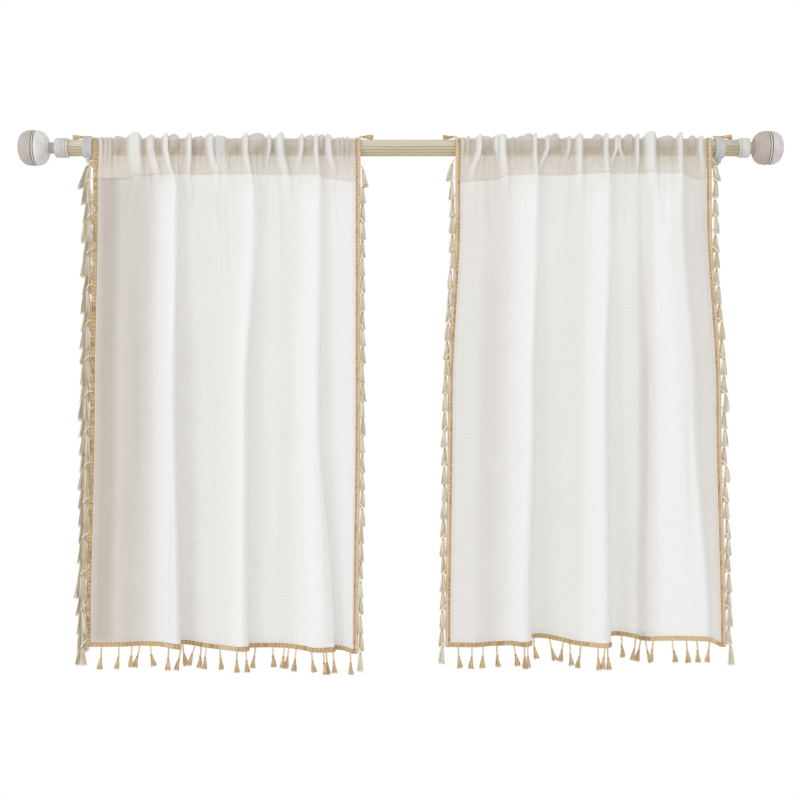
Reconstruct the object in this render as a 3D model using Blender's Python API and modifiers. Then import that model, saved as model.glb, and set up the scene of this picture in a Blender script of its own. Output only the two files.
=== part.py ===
"""A pair of cafe curtain panels gathered on a fluted rod.

Each panel is one sheet with a rod pocket along its top. A braid with tassels
runs down both sides and along the hem. The rod has a turned finial at each
end and hangs in two wall brackets.

World axes: +X to the right, +Y towards the wall, +Z up. The origin is on the
wall plane, behind the middle of the rod, at the height of the rod's axis.
Tables are in millimetres, everything else in metres.
"""
import math
from collections import namedtuple

import bmesh
import bpy
import numpy as np
from mathutils import Matrix, Vector

MM = 0.001
GAP = 0.3 * MM

# Rod and finials
ROD_RADIUS = 14.0 * MM
ROD_FLUTES = 14
FLUTE_DEPTH = 1.3 * MM
ROD_FROM_WALL = 75.0 * MM
ROD_LEFT = -563.5 * MM
ROD_RIGHT = 575.5 * MM
BALL_RADIUS = 30.0 * MM
BALL_LENGTH = 51.0 * MM
BALL_GROOVE = 23.0 * MM
GROOVE_WIDTH = 2.6 * MM
GROOVE_DEPTH = 2.2 * MM
NECK_RADIUS = 9.8 * MM
CAP_RADIUS = 16.5 * MM
TURN_STEPS = 20

# Brackets
RING_BORE = ROD_RADIUS + 0.45 * MM
RING_WALL = 2.9 * MM
RING_WIDTH = 16.0 * MM
RING_SIDES = 28
ARM_RADIUS = 5.5 * MM
LUG_LENGTH = 10.0 * MM
LUG_RADIUS = 6.0 * MM
LUG_TIP_RADIUS = 3.4 * MM
PLATE_RADIUS = 23.0 * MM
PLATE_THICKNESS = 5.0 * MM
SCREW_HOLE_RADIUS = 2.3 * MM
SCREW_HOLE_OFFSET = 15.0 * MM
LEFT_RING_X = -529.5 * MM
RIGHT_RING_X = 542.5 * MM

# Cloth
CLOTH = 2.0 * MM
CASING_RADIUS = 16.1 * MM
CASING_ANGLES = (0.0, 36.0, 72.0, 108.0, 144.0, 180.0, 222.0)
HEM_DROP = 840.0 * MM
HEAD_DROP = 105.0 * MM
MID_DROP = 430.0 * MM
FRONT_DROPS = (840.0, 745.0, 625.0, 500.0, 370.0, 245.0, 150.0, 90.0, 46.0)
CASING_FOOT = 23.0 * MM
CASING_BACK_DROP = 34.0 * MM
CASING_BACK_LEAN = 7.0 * MM
LEAST_COLUMN = 5.0 * MM

# Braid and tassels
BRAID_WIDTH = 7.0 * MM
BRAID_THICKNESS = 2.0 * MM
SIDE_PITCH = 30.0 * MM
HEM_PITCH = 28.5 * MM
THREAD_HALF = 1.0 * MM
SIDE_THREAD_OUT = 5.6 * MM
SIDE_THREAD_DROP = 15.0 * MM
HEM_THREAD_DROP = 14.0 * MM
TASSEL_LENGTH = 22.0 * MM
TASSEL_HEAD_DROP = 2.5 * MM
TASSEL_HEAD_HALF = 2.6 * MM
TASSEL_END_WIDE = 4.6 * MM
TASSEL_END_DEEP = 2.4 * MM
TASSEL_STAGGER = 3.7 * MM
TASSEL_LIFT = 0.8 * MM

Fold = namedtuple("Fold", "place x_head x_mid x_hem out_head out_mid out_hem")
Gather = namedtuple("Gather", "x_rod x_below height half_width reach")
FinialShape = namedtuple("FinialShape", "name end_x outward cap_length neck_length")

# How far each fold of the cloth stands out from the hang plane, and where
# across the rod it runs, below the rod pocket, at mid height and at the hem.
LEFT_FOLDS = (
    Fold("edge", -513, -518, -525, 4, 9, 15),
    Fold("side_swell", -469, -473, -479, 9, 19, 24),
    Fold("side_dip", -430, -434, -438, 2, 2, 10),
    Fold("rise_1", -406, -411, -410, 8, 14, 20),
    Fold("crest_1", -389, -391, -386, 21, 34, 39),
    Fold("brink_1", -383, -384, -378, 15, 25, 30),
    Fold("tuck_1", -381, -398, -402, 4, 8, 8),
    Fold("trough_1", -364, -366, -368, -1, -3, -3),
    Fold("swell_2", -328, -330, -322, 3, 8, 25),
    Fold("crest_2", -262, -274, -276, 16, 31, 36),
    Fold("brink_2", -253, -264, -265, 11, 23, 28),
    Fold("tuck_2", -250, -274, -280, 3, 9, 11),
    Fold("trough_2", -228, -228, -230, -2, -2, 3),
    Fold("rest_3", -192, -190, -197, 1, 2, 6),
    Fold("rise_3", -165, -170, -176, 9, 15, 28),
    Fold("crest_3", -149, -152, -140, 19, 30, 42),
    Fold("brink_3", -140, -142, -112, 13, 22, 36),
    Fold("tuck_3", -137, -148, -130, 4, 8, 14),
    Fold("slope_3", -122, -124, -103, 0, 2, 15),
    Fold("edge", -76, -76, -80, 5, 10, 33),
)
RIGHT_FOLDS = (
    Fold("edge", 103, 90, 86, 4, 12, 27),
    Fold("swell_0", 136, 127, 125, 9, 20, 34),
    Fold("dip_0", 172, 166, 162, -1, 0, 16),
    Fold("rise_1", 199, 193, 187, 8, 13, 22),
    Fold("crest_1", 223, 217, 208, 21, 33, 38),
    Fold("brink_1", 230, 224, 217, 14, 24, 28),
    Fold("tuck_1", 232, 212, 199, 4, 7, 6),
    Fold("trough_1", 253, 246, 236, -2, -4, -9),
    Fold("rest_1", 282, 281, 272, 2, 1, 2),
    Fold("swell_2", 312, 309, 300, 8, 10, 24),
    Fold("crest_2", 346, 339, 338, 19, 32, 36),
    Fold("brink_2", 354, 347, 347, 13, 23, 27),
    Fold("tuck_2", 356, 335, 331, 3, 5, 2),
    Fold("trough_2", 380, 372, 368, -1, -6, -18),
    Fold("lip_3", 402, 404, 400, 2, 3, -8),
    Fold("pit_3", 412, 416, 411, -3, -22, -28),
    Fold("wall_3", 423, 425, 425, 3, -2, -6),
    Fold("rise_3", 438, 445, 452, 13, 14, 12),
    Fold("crest_3", 458, 474, 494, 17, 28, 24),
    Fold("brink_3", 477, 497, 520, 15, 22, 29),
    Fold("slope_3", 491, 512, 532, 4, 8, 24),
    Fold("edge", 521, 537, 545, 6, 13, 30),
)

# Small gathers where the cloth is bunched on the rod. Each one fades out at
# its reach below the rod's axis.
LEFT_GATHERS = (
    Gather(-497, -497, 3.0, 9, 60),
    Gather(-474, -476, 6.0, 9, 55),
    Gather(-452, -449, 12.0, 12, 70),
    Gather(-421, -405, 6.0, 10, 100),
    Gather(-399, -383, 9.0, 9, 130),
    Gather(-362, -358, 9.0, 8, 75),
    Gather(-325, -328, 7.0, 8, 75),
    Gather(-293, -298, 5.0, 13, 130),
    Gather(-265, -252, 9.5, 8, 130),
    Gather(-221, -226, 5.0, 7, 60),
    Gather(-207, -209, 9.0, 7, 70),
    Gather(-187, -184, 5.0, 11, 130),
    Gather(-171, -173, 6.0, 7, 60),
    Gather(-141, -139, 9.5, 8, 130),
    Gather(-119, -109, 7.0, 8, 75),
    Gather(-92, -89, 3.0, 8, 50),
)
RIGHT_GATHERS = (
    Gather(131, 121, 7.0, 9, 85),
    Gather(166, 166, 8.0, 7, 60),
    Gather(180, 183, 6.0, 9, 100),
    Gather(212, 229, 10.0, 11, 130),
    Gather(243, 238, 4.5, 7, 60),
    Gather(287, 284, 6.0, 7, 65),
    Gather(307, 315, 8.5, 9, 130),
    Gather(350, 354, 9.5, 8, 130),
    Gather(368, 360, 5.0, 7, 65),
    Gather(403, 403, 8.5, 7, 75),
    Gather(427, 434, 12.0, 14, 140),
    Gather(473, 477, 9.5, 9, 130),
    Gather(494, 496, 4.0, 7, 50),
    Gather(513, 516, 6.0, 7, 75),
)

FINIALS = (
    FinialShape("finial_left", ROD_LEFT, -1, 22.0 * MM, 11.5 * MM),
    FinialShape("finial_right", ROD_RIGHT, 1, 18.0 * MM, 6.0 * MM),
)


def clear_scene():
    for scene_object in list(bpy.data.objects):
        bpy.data.objects.remove(scene_object, do_unlink=True)


def new_collection(name):
    collection = bpy.data.collections.new(name)
    bpy.context.scene.collection.children.link(collection)
    return collection


def plain_material(name, colour, roughness, metallic=0.0):
    material = bpy.data.materials.new(name)
    material.use_nodes = True
    shader = material.node_tree.nodes["Principled BSDF"]
    shader.inputs["Base Color"].default_value = (*colour, 1.0)
    shader.inputs["Roughness"].default_value = roughness
    shader.inputs["Metallic"].default_value = metallic
    return material


def mesh_object(name, bm, collection, material=None):
    """Turn a bmesh into an object whose faces point out."""
    bmesh.ops.recalc_face_normals(bm, faces=bm.faces)
    mesh = bpy.data.meshes.new(name)
    bm.to_mesh(mesh)
    bm.free()
    made = bpy.data.objects.new(name, mesh)
    collection.objects.link(made)
    if material:
        mesh.materials.append(material)
    return made


def smooth_round(mesh, angle=50.0):
    mesh.shade_smooth()
    mesh.set_sharp_from_angle(angle=math.radians(angle))


def ease(t):
    """A soft step from 0 to 1."""
    t = min(max(t, 0.0), 1.0)
    return t * t * (3.0 - 2.0 * t)


def even_slopes(spots, values):
    """Slopes for a cubic through the values that never overshoots them."""
    widths = np.diff(spots)
    rises = np.diff(values) / widths
    slopes = np.zeros(len(values))
    slopes[0] = rises[0]
    slopes[-1] = rises[-1]
    for i in range(1, len(values) - 1):
        if rises[i - 1] * rises[i] > 0.0:
            near = 2.0 * widths[i] + widths[i - 1]
            far = widths[i] + 2.0 * widths[i - 1]
            slopes[i] = (near + far) / (near / rises[i - 1] + far / rises[i])
    return slopes


def smooth_line(spots, values):
    """A function that runs smoothly through the values at the spots."""
    slopes = even_slopes(spots, values)

    def value_at(spot):
        i = int(np.clip(np.searchsorted(spots, spot) - 1, 0, len(spots) - 2))
        width = spots[i + 1] - spots[i]
        t = (spot - spots[i]) / width
        start = values[i] * (1 + 2 * t) * (1 - t) ** 2 + slopes[i] * width * t * (1 - t) ** 2
        stop = values[i + 1] * (3 - 2 * t) * t * t + slopes[i + 1] * width * (t - 1) * t * t
        return start + stop

    return value_at


def between_levels(drop, head, mid, hem):
    """A fold's value at a drop below the rod, from its three levels."""
    if drop <= MID_DROP:
        return head + (mid - head) * ease((drop - HEAD_DROP) / (MID_DROP - HEAD_DROP))
    return mid + (hem - mid) * ease((drop - MID_DROP) / (HEM_DROP - MID_DROP))


class Panel:
    """The shape in which one gathered panel hangs."""

    def __init__(self, folds, gathers):
        self.folds = folds
        self.gathers = gathers
        steps = [
            math.hypot(b.x_mid - a.x_mid, b.out_mid - a.out_mid)
            for a, b in zip(folds, folds[1:])
        ]
        self.spots = np.concatenate(([0.0], np.cumsum(steps))) * MM
        self.width = self.spots[-1]

    def row(self, drop):
        """Functions for x and for the fold's depth along the cloth."""
        xs = [between_levels(drop, f.x_head, f.x_mid, f.x_hem) * MM for f in self.folds]
        hold = ease(drop / HEAD_DROP)
        outs = [
            between_levels(drop, f.out_head, f.out_mid, f.out_hem) * MM * hold
            for f in self.folds
        ]
        return smooth_line(self.spots, np.array(xs)), smooth_line(self.spots, np.array(outs))

    def bunch(self, x, drop):
        """How far the gathers lift the cloth off the rod at a place."""
        lift = 0.0
        for gather in self.gathers:
            reach = gather.reach * MM
            fade = ease((reach - drop) / reach)
            slide = ease(drop / (0.6 * reach))
            middle = (gather.x_rod + (gather.x_below - gather.x_rod) * slide) * MM
            away = (x - middle) / (gather.half_width * MM)
            if abs(away) < 1.0:
                lift = max(lift, gather.height * MM * fade * (1.0 - away * away) ** 1.5)
        return lift

    def front(self, spot, drop):
        """The middle of the sheet in front of, or below, the rod."""
        x_at, out_at = self.row(drop)
        x = x_at(spot)
        out = CASING_RADIUS + self.bunch(x, drop) + out_at(spot)
        return Vector((x, -ROD_FROM_WALL - out, -drop))

    def over_rod(self, spot, angle):
        """The middle of the sheet where it wraps the rod."""
        x_at, _ = self.row(0.0)
        x = x_at(spot)
        fullness = 1.0 - 0.6 * ease((angle - 90.0) / 120.0)
        radius = CASING_RADIUS + self.bunch(x, 0.0) * fullness
        turn = math.radians(angle)
        return Vector((x, -ROD_FROM_WALL - radius * math.cos(turn), radius * math.sin(turn)))

    def casing_back(self, spot):
        """The pocket's back layer, just above the seam."""
        spot_in_front = self.front(spot, CASING_BACK_DROP)
        return spot_in_front + Vector((0.0, CASING_BACK_LEAN, 0.0))

    def column(self, spot):
        """All the middle points of one column, from the hem to the pocket's back."""
        points = [self.front(spot, drop * MM) for drop in FRONT_DROPS]
        points.append(self.front(spot, CASING_FOOT))
        points += [self.over_rod(spot, angle) for angle in CASING_ANGLES]
        points.append(self.casing_back(spot))
        return points

    def column_spots(self):
        """Places along the cloth that catch every fold and gather."""
        x_at, _ = self.row(0.0)
        samples = np.linspace(0.0, self.width, 600)
        sample_x = np.array([x_at(s) for s in samples])
        wanted = []
        for gather in self.gathers:
            for shift in (0.0, -0.85, 0.85):
                x = (gather.x_rod + shift * gather.half_width) * MM
                wanted.append(float(np.interp(x, sample_x, samples)))
        chosen = list(self.spots)
        for spot in wanted:
            if min(abs(spot - other) for other in chosen) > LEAST_COLUMN:
                chosen.append(spot)
        return sorted(chosen)


def sheet_normals(grid):
    """A unit normal at each grid point, out from the pocket's inside.

    It stays upright to X at both side edges, so that they end flush.
    """
    across = np.gradient(grid, axis=0)
    along = np.gradient(grid, axis=1)
    normals = np.cross(across, along)
    normals[[0, -1], :, 0] = 0.0
    normals /= np.linalg.norm(normals, axis=2, keepdims=True)
    return normals


def build_panel(name, panel, collection, material):
    """Loft one panel: a sheet whose top is sewn back to it as a rod pocket."""
    grid = np.array([[tuple(p) for p in panel.column(s)] for s in panel.column_spots()])
    normals = sheet_normals(grid)
    outer = grid + normals * CLOTH / 2
    inner = grid - normals * CLOTH / 2
    seam = len(FRONT_DROPS) - 1
    last = grid.shape[1] - 1
    bm = bmesh.new()
    skins = []
    for i in range(grid.shape[0]):
        outside = [bm.verts.new(p) for p in outer[i]]
        behind = [bm.verts.new(p) for p in inner[i][: seam + 1]]
        pocket = [bm.verts.new(p) for p in inner[i][seam + 1:]]
        skins.append((outside + behind[::-1], pocket))
    for left, right in zip(skins, skins[1:]):
        for ring_left, ring_right in zip(left, right):
            for j in range(len(ring_left)):
                k = (j + 1) % len(ring_left)
                bm.faces.new((ring_left[j], ring_left[k], ring_right[k], ring_right[j]))
    for skin, pocket in (skins[0], skins[-1]):
        close_panel_end(bm, skin, pocket, seam, last)
    sheet = mesh_object(name, bm, collection, material)
    smooth_round(sheet.data)
    return sheet


def close_panel_end(bm, skin, pocket, seam, last):
    """Close one side edge of a panel, around the pocket's mouth."""
    outside = skin[: last + 1]
    behind = skin[last + 1:][::-1]
    for j in range(seam):
        bm.faces.new((outside[j], outside[j + 1], behind[j + 1], behind[j]))
    for j in range(seam + 1, last):
        k = j - seam - 1
        bm.faces.new((outside[j], outside[j + 1], pocket[k + 1], pocket[k]))
    bm.faces.new((
        outside[seam], outside[seam + 1], pocket[0], pocket[-1], outside[last], behind[seam],
    ))


def face_signs(face, first, second):
    """On which side of the face's middle each corner lies, both ways."""
    middle = face.calc_center_median()
    return [
        (
            math.copysign(1.0, (vert.co - middle).dot(first)),
            math.copysign(1.0, (vert.co - middle).dot(second)),
        )
        for vert in face.verts
    ]


def grow_strand(bm, face, signs, rings):
    """Draw a face out through four-cornered rings.

    Each ring is its middle, then its two half axes.
    """
    for middle, first, second in rings:
        face = bmesh.ops.extrude_discrete_faces(bm, faces=[face])["faces"][0]
        for vert, (side_a, side_b) in zip(face.verts, signs):
            vert.co = middle + first * side_a + second * side_b


def strip_mesh(bm, rings):
    """A closed strip through four-cornered rings, with its edge faces."""
    rows = [[bm.verts.new(corner) for corner in ring] for ring in rings]
    edge_faces = []
    for lower, upper in zip(rows, rows[1:]):
        for j in range(4):
            k = (j + 1) % 4
            face = bm.faces.new((lower[j], lower[k], upper[k], upper[j]))
            if j == 1:
                edge_faces.append(face)
    bm.faces.new(rows[0][::-1])
    bm.faces.new(rows[-1])
    return edge_faces


def cut_marks(length, corners, tassels):
    """Sorted marks along a strip: its corners and both sides of each root."""
    marks = {0.0, length}
    for tassel in tassels:
        marks.update((tassel - THREAD_HALF, tassel + THREAD_HALF))
    for corner in corners:
        if min(abs(corner - tassel) for tassel in tassels) > 2 * THREAD_HALF:
            marks.add(corner)
    return sorted(marks)


def along_path(path, lengths, mark):
    """The point and the direction at a mark along a list of points."""
    i = int(np.clip(np.searchsorted(lengths, mark) - 1, 0, len(path) - 2))
    span = path[i + 1] - path[i]
    share = (mark - lengths[i]) / span.length
    direction = span.normalized()
    if share > 0.999 and i + 2 < len(path):
        direction = (direction + (path[i + 2] - path[i + 1]).normalized()).normalized()
    return path[i] + span * share, direction


def path_lengths(path):
    steps = [(b - a).length for a, b in zip(path, path[1:])]
    return np.concatenate(([0.0], np.cumsum(steps)))


def side_strand(root, outward, stagger, reach):
    """Rings of a tassel that leaves a side braid and hangs down."""
    out = Vector((outward, 0.0, 0.0))
    away = Vector((0.0, stagger, 0.0))
    deep = Vector((0.0, 1.0, 0.0))
    up = Vector((0.0, 0.0, 1.0))
    elbow = root + out * SIDE_THREAD_OUT * 0.75 + away * 0.5 - up * 1.6 * MM
    neck = root + out * SIDE_THREAD_OUT * reach + away - up * SIDE_THREAD_DROP
    end = neck + out * 0.6 * MM - up * TASSEL_LENGTH
    return (
        (elbow, (out + up).normalized() * THREAD_HALF, deep * THREAD_HALF),
        (neck, out * THREAD_HALF, deep * THREAD_HALF),
        (end, out * TASSEL_END_WIDE, deep * TASSEL_END_DEEP),
    )


def top_strand(root, outward, thread):
    """Rings of a tassel that lies on top of the rod."""
    out = Vector((outward, 0.0, 0.0))
    up = Vector((0.0, 0.0, 1.0))
    deep = Vector((0.0, 1.0, 0.0))
    rest = ROD_RADIUS + TASSEL_END_DEEP + TASSEL_LIFT
    over_ring = RING_BORE + RING_WALL + THREAD_HALF + TASSEL_LIFT
    lifted = Vector((root.x, root.y, over_ring)) + out * 1.2 * THREAD_HALF
    neck = lifted + out * thread
    end = Vector((neck.x, -ROD_FROM_WALL, rest)) + out * 0.75 * TASSEL_LENGTH
    return (
        (lifted, up * THREAD_HALF, deep * THREAD_HALF),
        (neck, up * THREAD_HALF, deep * THREAD_HALF),
        (end, up * TASSEL_END_DEEP, deep * TASSEL_END_WIDE),
    )


def build_side_trim(name, panel, outward, top_thread, collection, material):
    """A braid parted from one side edge of a panel, with its tassels."""
    spot = panel.width if outward * panel.folds[-1].x_mid > outward * panel.folds[0].x_mid else 0.0
    column = panel.column(spot)
    top_row = len(FRONT_DROPS) + 5
    foot = column[0] - Vector((0.0, 0.0, BRAID_WIDTH + GAP))
    path = [foot] + column[: top_row + 1]
    lengths = path_lengths(path)
    out = Vector((outward, 0.0, 0.0))
    seam_mark = lengths[len(FRONT_DROPS)]
    tassels = list(np.arange(SIDE_PITCH * 0.3, seam_mark - 0.1 * SIDE_PITCH, SIDE_PITCH))
    top_tassel = (lengths[-3] + lengths[-2]) / 2
    marks = cut_marks(lengths[-1], lengths[1:-1], tassels + [top_tassel])
    rings = []
    for mark in marks:
        point, direction = along_path(path, lengths, mark)
        flat = Vector((0.0, direction.y, direction.z)).normalized()
        front = Vector((0.0, -flat.z, flat.y)) * BRAID_THICKNESS / 2
        near = point + out * GAP
        far = near + out * BRAID_WIDTH
        rings.append((near + front, far + front, far - front, near - front))
    bm = bmesh.new()
    edge_faces = strip_mesh(bm, rings)
    bm.normal_update()
    deep = Vector((0.0, 1.0, 0.0))
    for number, tassel in enumerate(tassels):
        face = edge_faces[marks.index(tassel - THREAD_HALF)]
        signs = face_signs(face, Vector((0.0, 0.0, 1.0)), deep)
        root = face.calc_center_median()
        stagger = TASSEL_STAGGER * (1 if number % 2 else -1)
        reach = 1.0 + 0.18 * math.sin(2.3 * number)
        grow_strand(bm, face, signs, side_strand(root, outward, stagger, reach))
    face = edge_faces[marks.index(top_tassel - THREAD_HALF)]
    signs = face_signs(face, Vector((0.0, 0.0, 1.0)), deep)
    grow_strand(bm, face, signs, top_strand(face.calc_center_median(), outward, top_thread))
    return mesh_object(name, bm, collection, material)


def build_hem_trim(name, panel, collection, material):
    """A braid parted from a panel's hem, with its tassels."""
    x_at, out_at = panel.row(HEM_DROP)
    samples = np.linspace(0.0, panel.width, 500)
    curve = [Vector((x_at(s), -ROD_FROM_WALL - CASING_RADIUS - out_at(s), 0.0)) for s in samples]
    lengths = path_lengths(curve)
    count = int(lengths[-1] / HEM_PITCH)
    pitch = lengths[-1] / count
    tassels = [pitch * (number + 0.5) for number in range(count)]
    corners = np.interp(panel.spots, samples, lengths)[1:-1]
    marks = cut_marks(lengths[-1], corners, tassels)
    top = -HEM_DROP - GAP
    rings = []
    for mark in marks:
        point, direction = along_path(curve, lengths, mark)
        if mark in (marks[0], marks[-1]):
            direction = Vector((1.0, 0.0, 0.0))
        front = Vector((direction.y, -direction.x, 0.0)) * BRAID_THICKNESS / 2
        high = point + Vector((0.0, 0.0, top))
        low = high - Vector((0.0, 0.0, BRAID_WIDTH))
        rings.append((high - front, low - front, low + front, high + front))
    bm = bmesh.new()
    edge_faces = strip_mesh(bm, rings)
    down = Vector((0.0, 0.0, -1.0))
    for tassel in tassels:
        face = edge_faces[marks.index(tassel - THREAD_HALF)]
        _, along = along_path(curve, lengths, tassel)
        deep = Vector((along.y, -along.x, 0.0))
        signs = face_signs(face, along, deep)
        neck = face.calc_center_median() + down * HEM_THREAD_DROP
        head = neck + down * TASSEL_HEAD_DROP
        end = neck + down * TASSEL_LENGTH
        grow_strand(bm, face, signs, (
            (neck, along * THREAD_HALF, deep * THREAD_HALF),
            (head, along * TASSEL_HEAD_HALF, deep * TASSEL_END_DEEP * 0.8),
            (end, along * TASSEL_END_WIDE, deep * TASSEL_END_DEEP),
        ))
    return mesh_object(name, bm, collection, material)


def build_rod(collection, material):
    """A fluted pole, extruded along its length."""
    depths = (0.0, 0.78, 1.0, 0.78)
    curve = bpy.data.curves.new("rod", "CURVE")
    curve.dimensions = "2D"
    curve.fill_mode = "BOTH"
    curve.render_resolution_u = 0
    curve.extrude = (ROD_RIGHT - ROD_LEFT) / 2
    outline = curve.splines.new("POLY")
    count = ROD_FLUTES * len(depths)
    outline.points.add(count - 1)
    for i in range(count):
        angle = 2 * math.pi * i / count
        radius = ROD_RADIUS - FLUTE_DEPTH * depths[i % len(depths)]
        outline.points[i].co = (radius * math.cos(angle), radius * math.sin(angle), 0.0, 1.0)
    outline.use_cyclic_u = True
    rod = bpy.data.objects.new("rod", curve)
    rod.location = ((ROD_LEFT + ROD_RIGHT) / 2, -ROD_FROM_WALL, 0.0)
    rod.rotation_euler = (0.0, math.radians(90.0), 0.0)
    curve.materials.append(material)
    collection.objects.link(rod)
    return rod


def ball_radius_at(height):
    """Radius of the barrel-shaped ball, at a height from its inner end."""
    share = 2.0 * height / BALL_LENGTH - 1.0
    return BALL_RADIUS * max(0.0, 1.0 - abs(share) ** 2.3) ** (1 / 2.3)


def finial_profile(shape):
    """Radius and height pairs, from the tip down to the cap's open end."""
    base = shape.cap_length + shape.neck_length
    tip = base + BALL_LENGTH
    groove = BALL_LENGTH - BALL_GROOVE
    half = GROOVE_WIDTH / 2
    profile = [(0.0, tip)]
    for share in (0.985, 0.93, 0.84, 0.72):
        profile.append((ball_radius_at(share * BALL_LENGTH), base + share * BALL_LENGTH))
    profile.append((ball_radius_at(groove + half), base + groove + half))
    profile.append((ball_radius_at(groove) - GROOVE_DEPTH, base + groove))
    profile.append((ball_radius_at(groove - half), base + groove - half))
    for share in (0.36, 0.22, 0.11, 0.045):
        profile.append((ball_radius_at(share * BALL_LENGTH), base + share * BALL_LENGTH))
    profile.append((NECK_RADIUS, base))
    profile.append((NECK_RADIUS, shape.cap_length))
    profile.append((CAP_RADIUS - 1.5 * MM, shape.cap_length - 0.4 * MM))
    profile.append((CAP_RADIUS, shape.cap_length - 2.0 * MM))
    profile.append((CAP_RADIUS, 0.0))
    profile.append((0.0, 0.0))
    return profile


def build_finial(shape, collection, material):
    """A turned ball with a ring groove, a neck and the cap on the rod's end."""
    mesh = bpy.data.meshes.new(shape.name)
    points = [(radius, 0.0, height) for radius, height in finial_profile(shape)]
    edges = [(i, i + 1) for i in range(len(points) - 1)]
    mesh.from_pydata(points, edges, [])
    mesh.materials.append(material)
    finial = bpy.data.objects.new(shape.name, mesh)
    collection.objects.link(finial)
    turn = finial.modifiers.new("turn", "SCREW")
    turn.steps = TURN_STEPS
    turn.render_steps = TURN_STEPS
    turn.use_merge_vertices = True
    turn.merge_threshold = 0.00001
    turn.use_smooth_shade = True
    finial.location = (shape.end_x + shape.outward * GAP, -ROD_FROM_WALL, 0.0)
    finial.rotation_euler = (0.0, math.radians(90.0) * shape.outward, 0.0)
    return finial


def cylinder(bm, radius, length, sides, matrix, tip_radius=None):
    """A round bar about the matrix's Z axis, from its origin upwards."""
    shift = Matrix.Translation((0.0, 0.0, length / 2))
    bmesh.ops.create_cone(
        bm, cap_ends=True, segments=sides, radius1=radius,
        radius2=radius if tip_radius is None else tip_radius, depth=length,
        matrix=matrix @ shift,
    )


def tool_object(name, bm, collection):
    tool = mesh_object(name, bm, collection)
    tool.hide_render = True
    tool.display_type = "WIRE"
    return tool


def add_boolean(target, tool, operation):
    step = target.modifiers.new(tool.name, "BOOLEAN")
    step.operation = operation
    step.object = tool
    step.solver = "EXACT"


def build_bracket(name, ring_x, parts, tools, material):
    """A ring about the rod, an arm to a round wall plate and a lug below."""
    along_x = Matrix.Rotation(math.radians(90.0), 4, "Y")
    to_wall = Matrix.Rotation(math.radians(-90.0), 4, "X")
    off_seam = Matrix.Rotation(math.radians(10.0), 4, "Z")
    downwards = Matrix.Rotation(math.radians(180.0), 4, "X")
    outside = RING_BORE + RING_WALL
    root = RING_BORE + 0.45 * RING_WALL
    axis = Vector((ring_x, -ROD_FROM_WALL, 0.0))

    bm = bmesh.new()
    start = Matrix.Translation(axis - Vector((RING_WIDTH / 2, 0.0, 0.0)))
    cylinder(bm, outside, RING_WIDTH, RING_SIDES, start @ along_x)
    bracket = mesh_object(name, bm, parts, material)
    smooth_round(bracket.data)

    bm = bmesh.new()
    arm_start = Matrix.Translation(axis + Vector((0.0, root, 0.0)))
    cylinder(bm, ARM_RADIUS, ROD_FROM_WALL - root - 1.0 * MM, 12, arm_start @ to_wall @ off_seam)
    add_boolean(bracket, tool_object(name + "_arm", bm, tools), "UNION")

    bm = bmesh.new()
    plate_start = Matrix.Translation(Vector((ring_x, -PLATE_THICKNESS, 0.0)))
    cylinder(bm, PLATE_RADIUS, PLATE_THICKNESS, 24, plate_start @ to_wall)
    add_boolean(bracket, tool_object(name + "_plate", bm, tools), "UNION")

    bm = bmesh.new()
    lug_start = Matrix.Translation(axis - Vector((0.0, 0.0, root)))
    cylinder(bm, LUG_RADIUS, LUG_LENGTH, 10, lug_start @ downwards, LUG_TIP_RADIUS)
    add_boolean(bracket, tool_object(name + "_lug", bm, tools), "UNION")

    bm = bmesh.new()
    bore_start = Matrix.Translation(axis - Vector((RING_WIDTH, 0.0, 0.0)))
    cylinder(bm, RING_BORE, 2 * RING_WIDTH, RING_SIDES, bore_start @ along_x)
    for side in (-1, 1):
        hole = Vector((ring_x, -2 * PLATE_THICKNESS, side * SCREW_HOLE_OFFSET))
        hole_start = Matrix.Translation(hole) @ to_wall
        cylinder(bm, SCREW_HOLE_RADIUS, 3 * PLATE_THICKNESS, 10, hole_start)
    add_boolean(bracket, tool_object(name + "_bores", bm, tools), "DIFFERENCE")
    return bracket


def main():
    clear_scene()
    parts = new_collection("cafe_curtain")
    tools = new_collection("cutters")
    linen = plain_material("linen", (0.88, 0.86, 0.82), 0.85)
    trim = plain_material("trim", (0.66, 0.50, 0.30), 0.8)
    cream = plain_material("cream_rod", (0.72, 0.64, 0.50), 0.5)
    whitewash = plain_material("whitewash", (0.72, 0.68, 0.64), 0.6)
    pale_metal = plain_material("pale_metal", (0.70, 0.73, 0.77), 0.4, 0.3)

    build_rod(parts, cream)
    for shape in FINIALS:
        build_finial(shape, parts, whitewash)
    build_bracket("bracket_left", LEFT_RING_X, parts, tools, pale_metal)
    build_bracket("bracket_right", RIGHT_RING_X, parts, tools, pale_metal)

    left = Panel(LEFT_FOLDS, LEFT_GATHERS)
    right = Panel(RIGHT_FOLDS, RIGHT_GATHERS)
    past_ring = 20.0 * MM
    on_rod = 4.0 * MM
    build_panel("panel_left", left, parts, linen)
    build_side_trim("trim_left_outer", left, -1, past_ring, parts, trim)
    build_side_trim("trim_left_inner", left, 1, on_rod, parts, trim)
    build_hem_trim("trim_left_hem", left, parts, trim)
    build_panel("panel_right", right, parts, linen)
    build_side_trim("trim_right_outer", right, 1, past_ring, parts, trim)
    build_side_trim("trim_right_inner", right, -1, on_rod, parts, trim)
    build_hem_trim("trim_right_hem", right, parts, trim)


main()
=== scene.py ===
"""A pair of cafe curtain panels on a fluted pole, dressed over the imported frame.

World axes: +X to the right, +Y towards the wall, +Z up. Tables of the hang are
in millimetres, everything else in metres.
"""
import math
from collections import namedtuple

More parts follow.
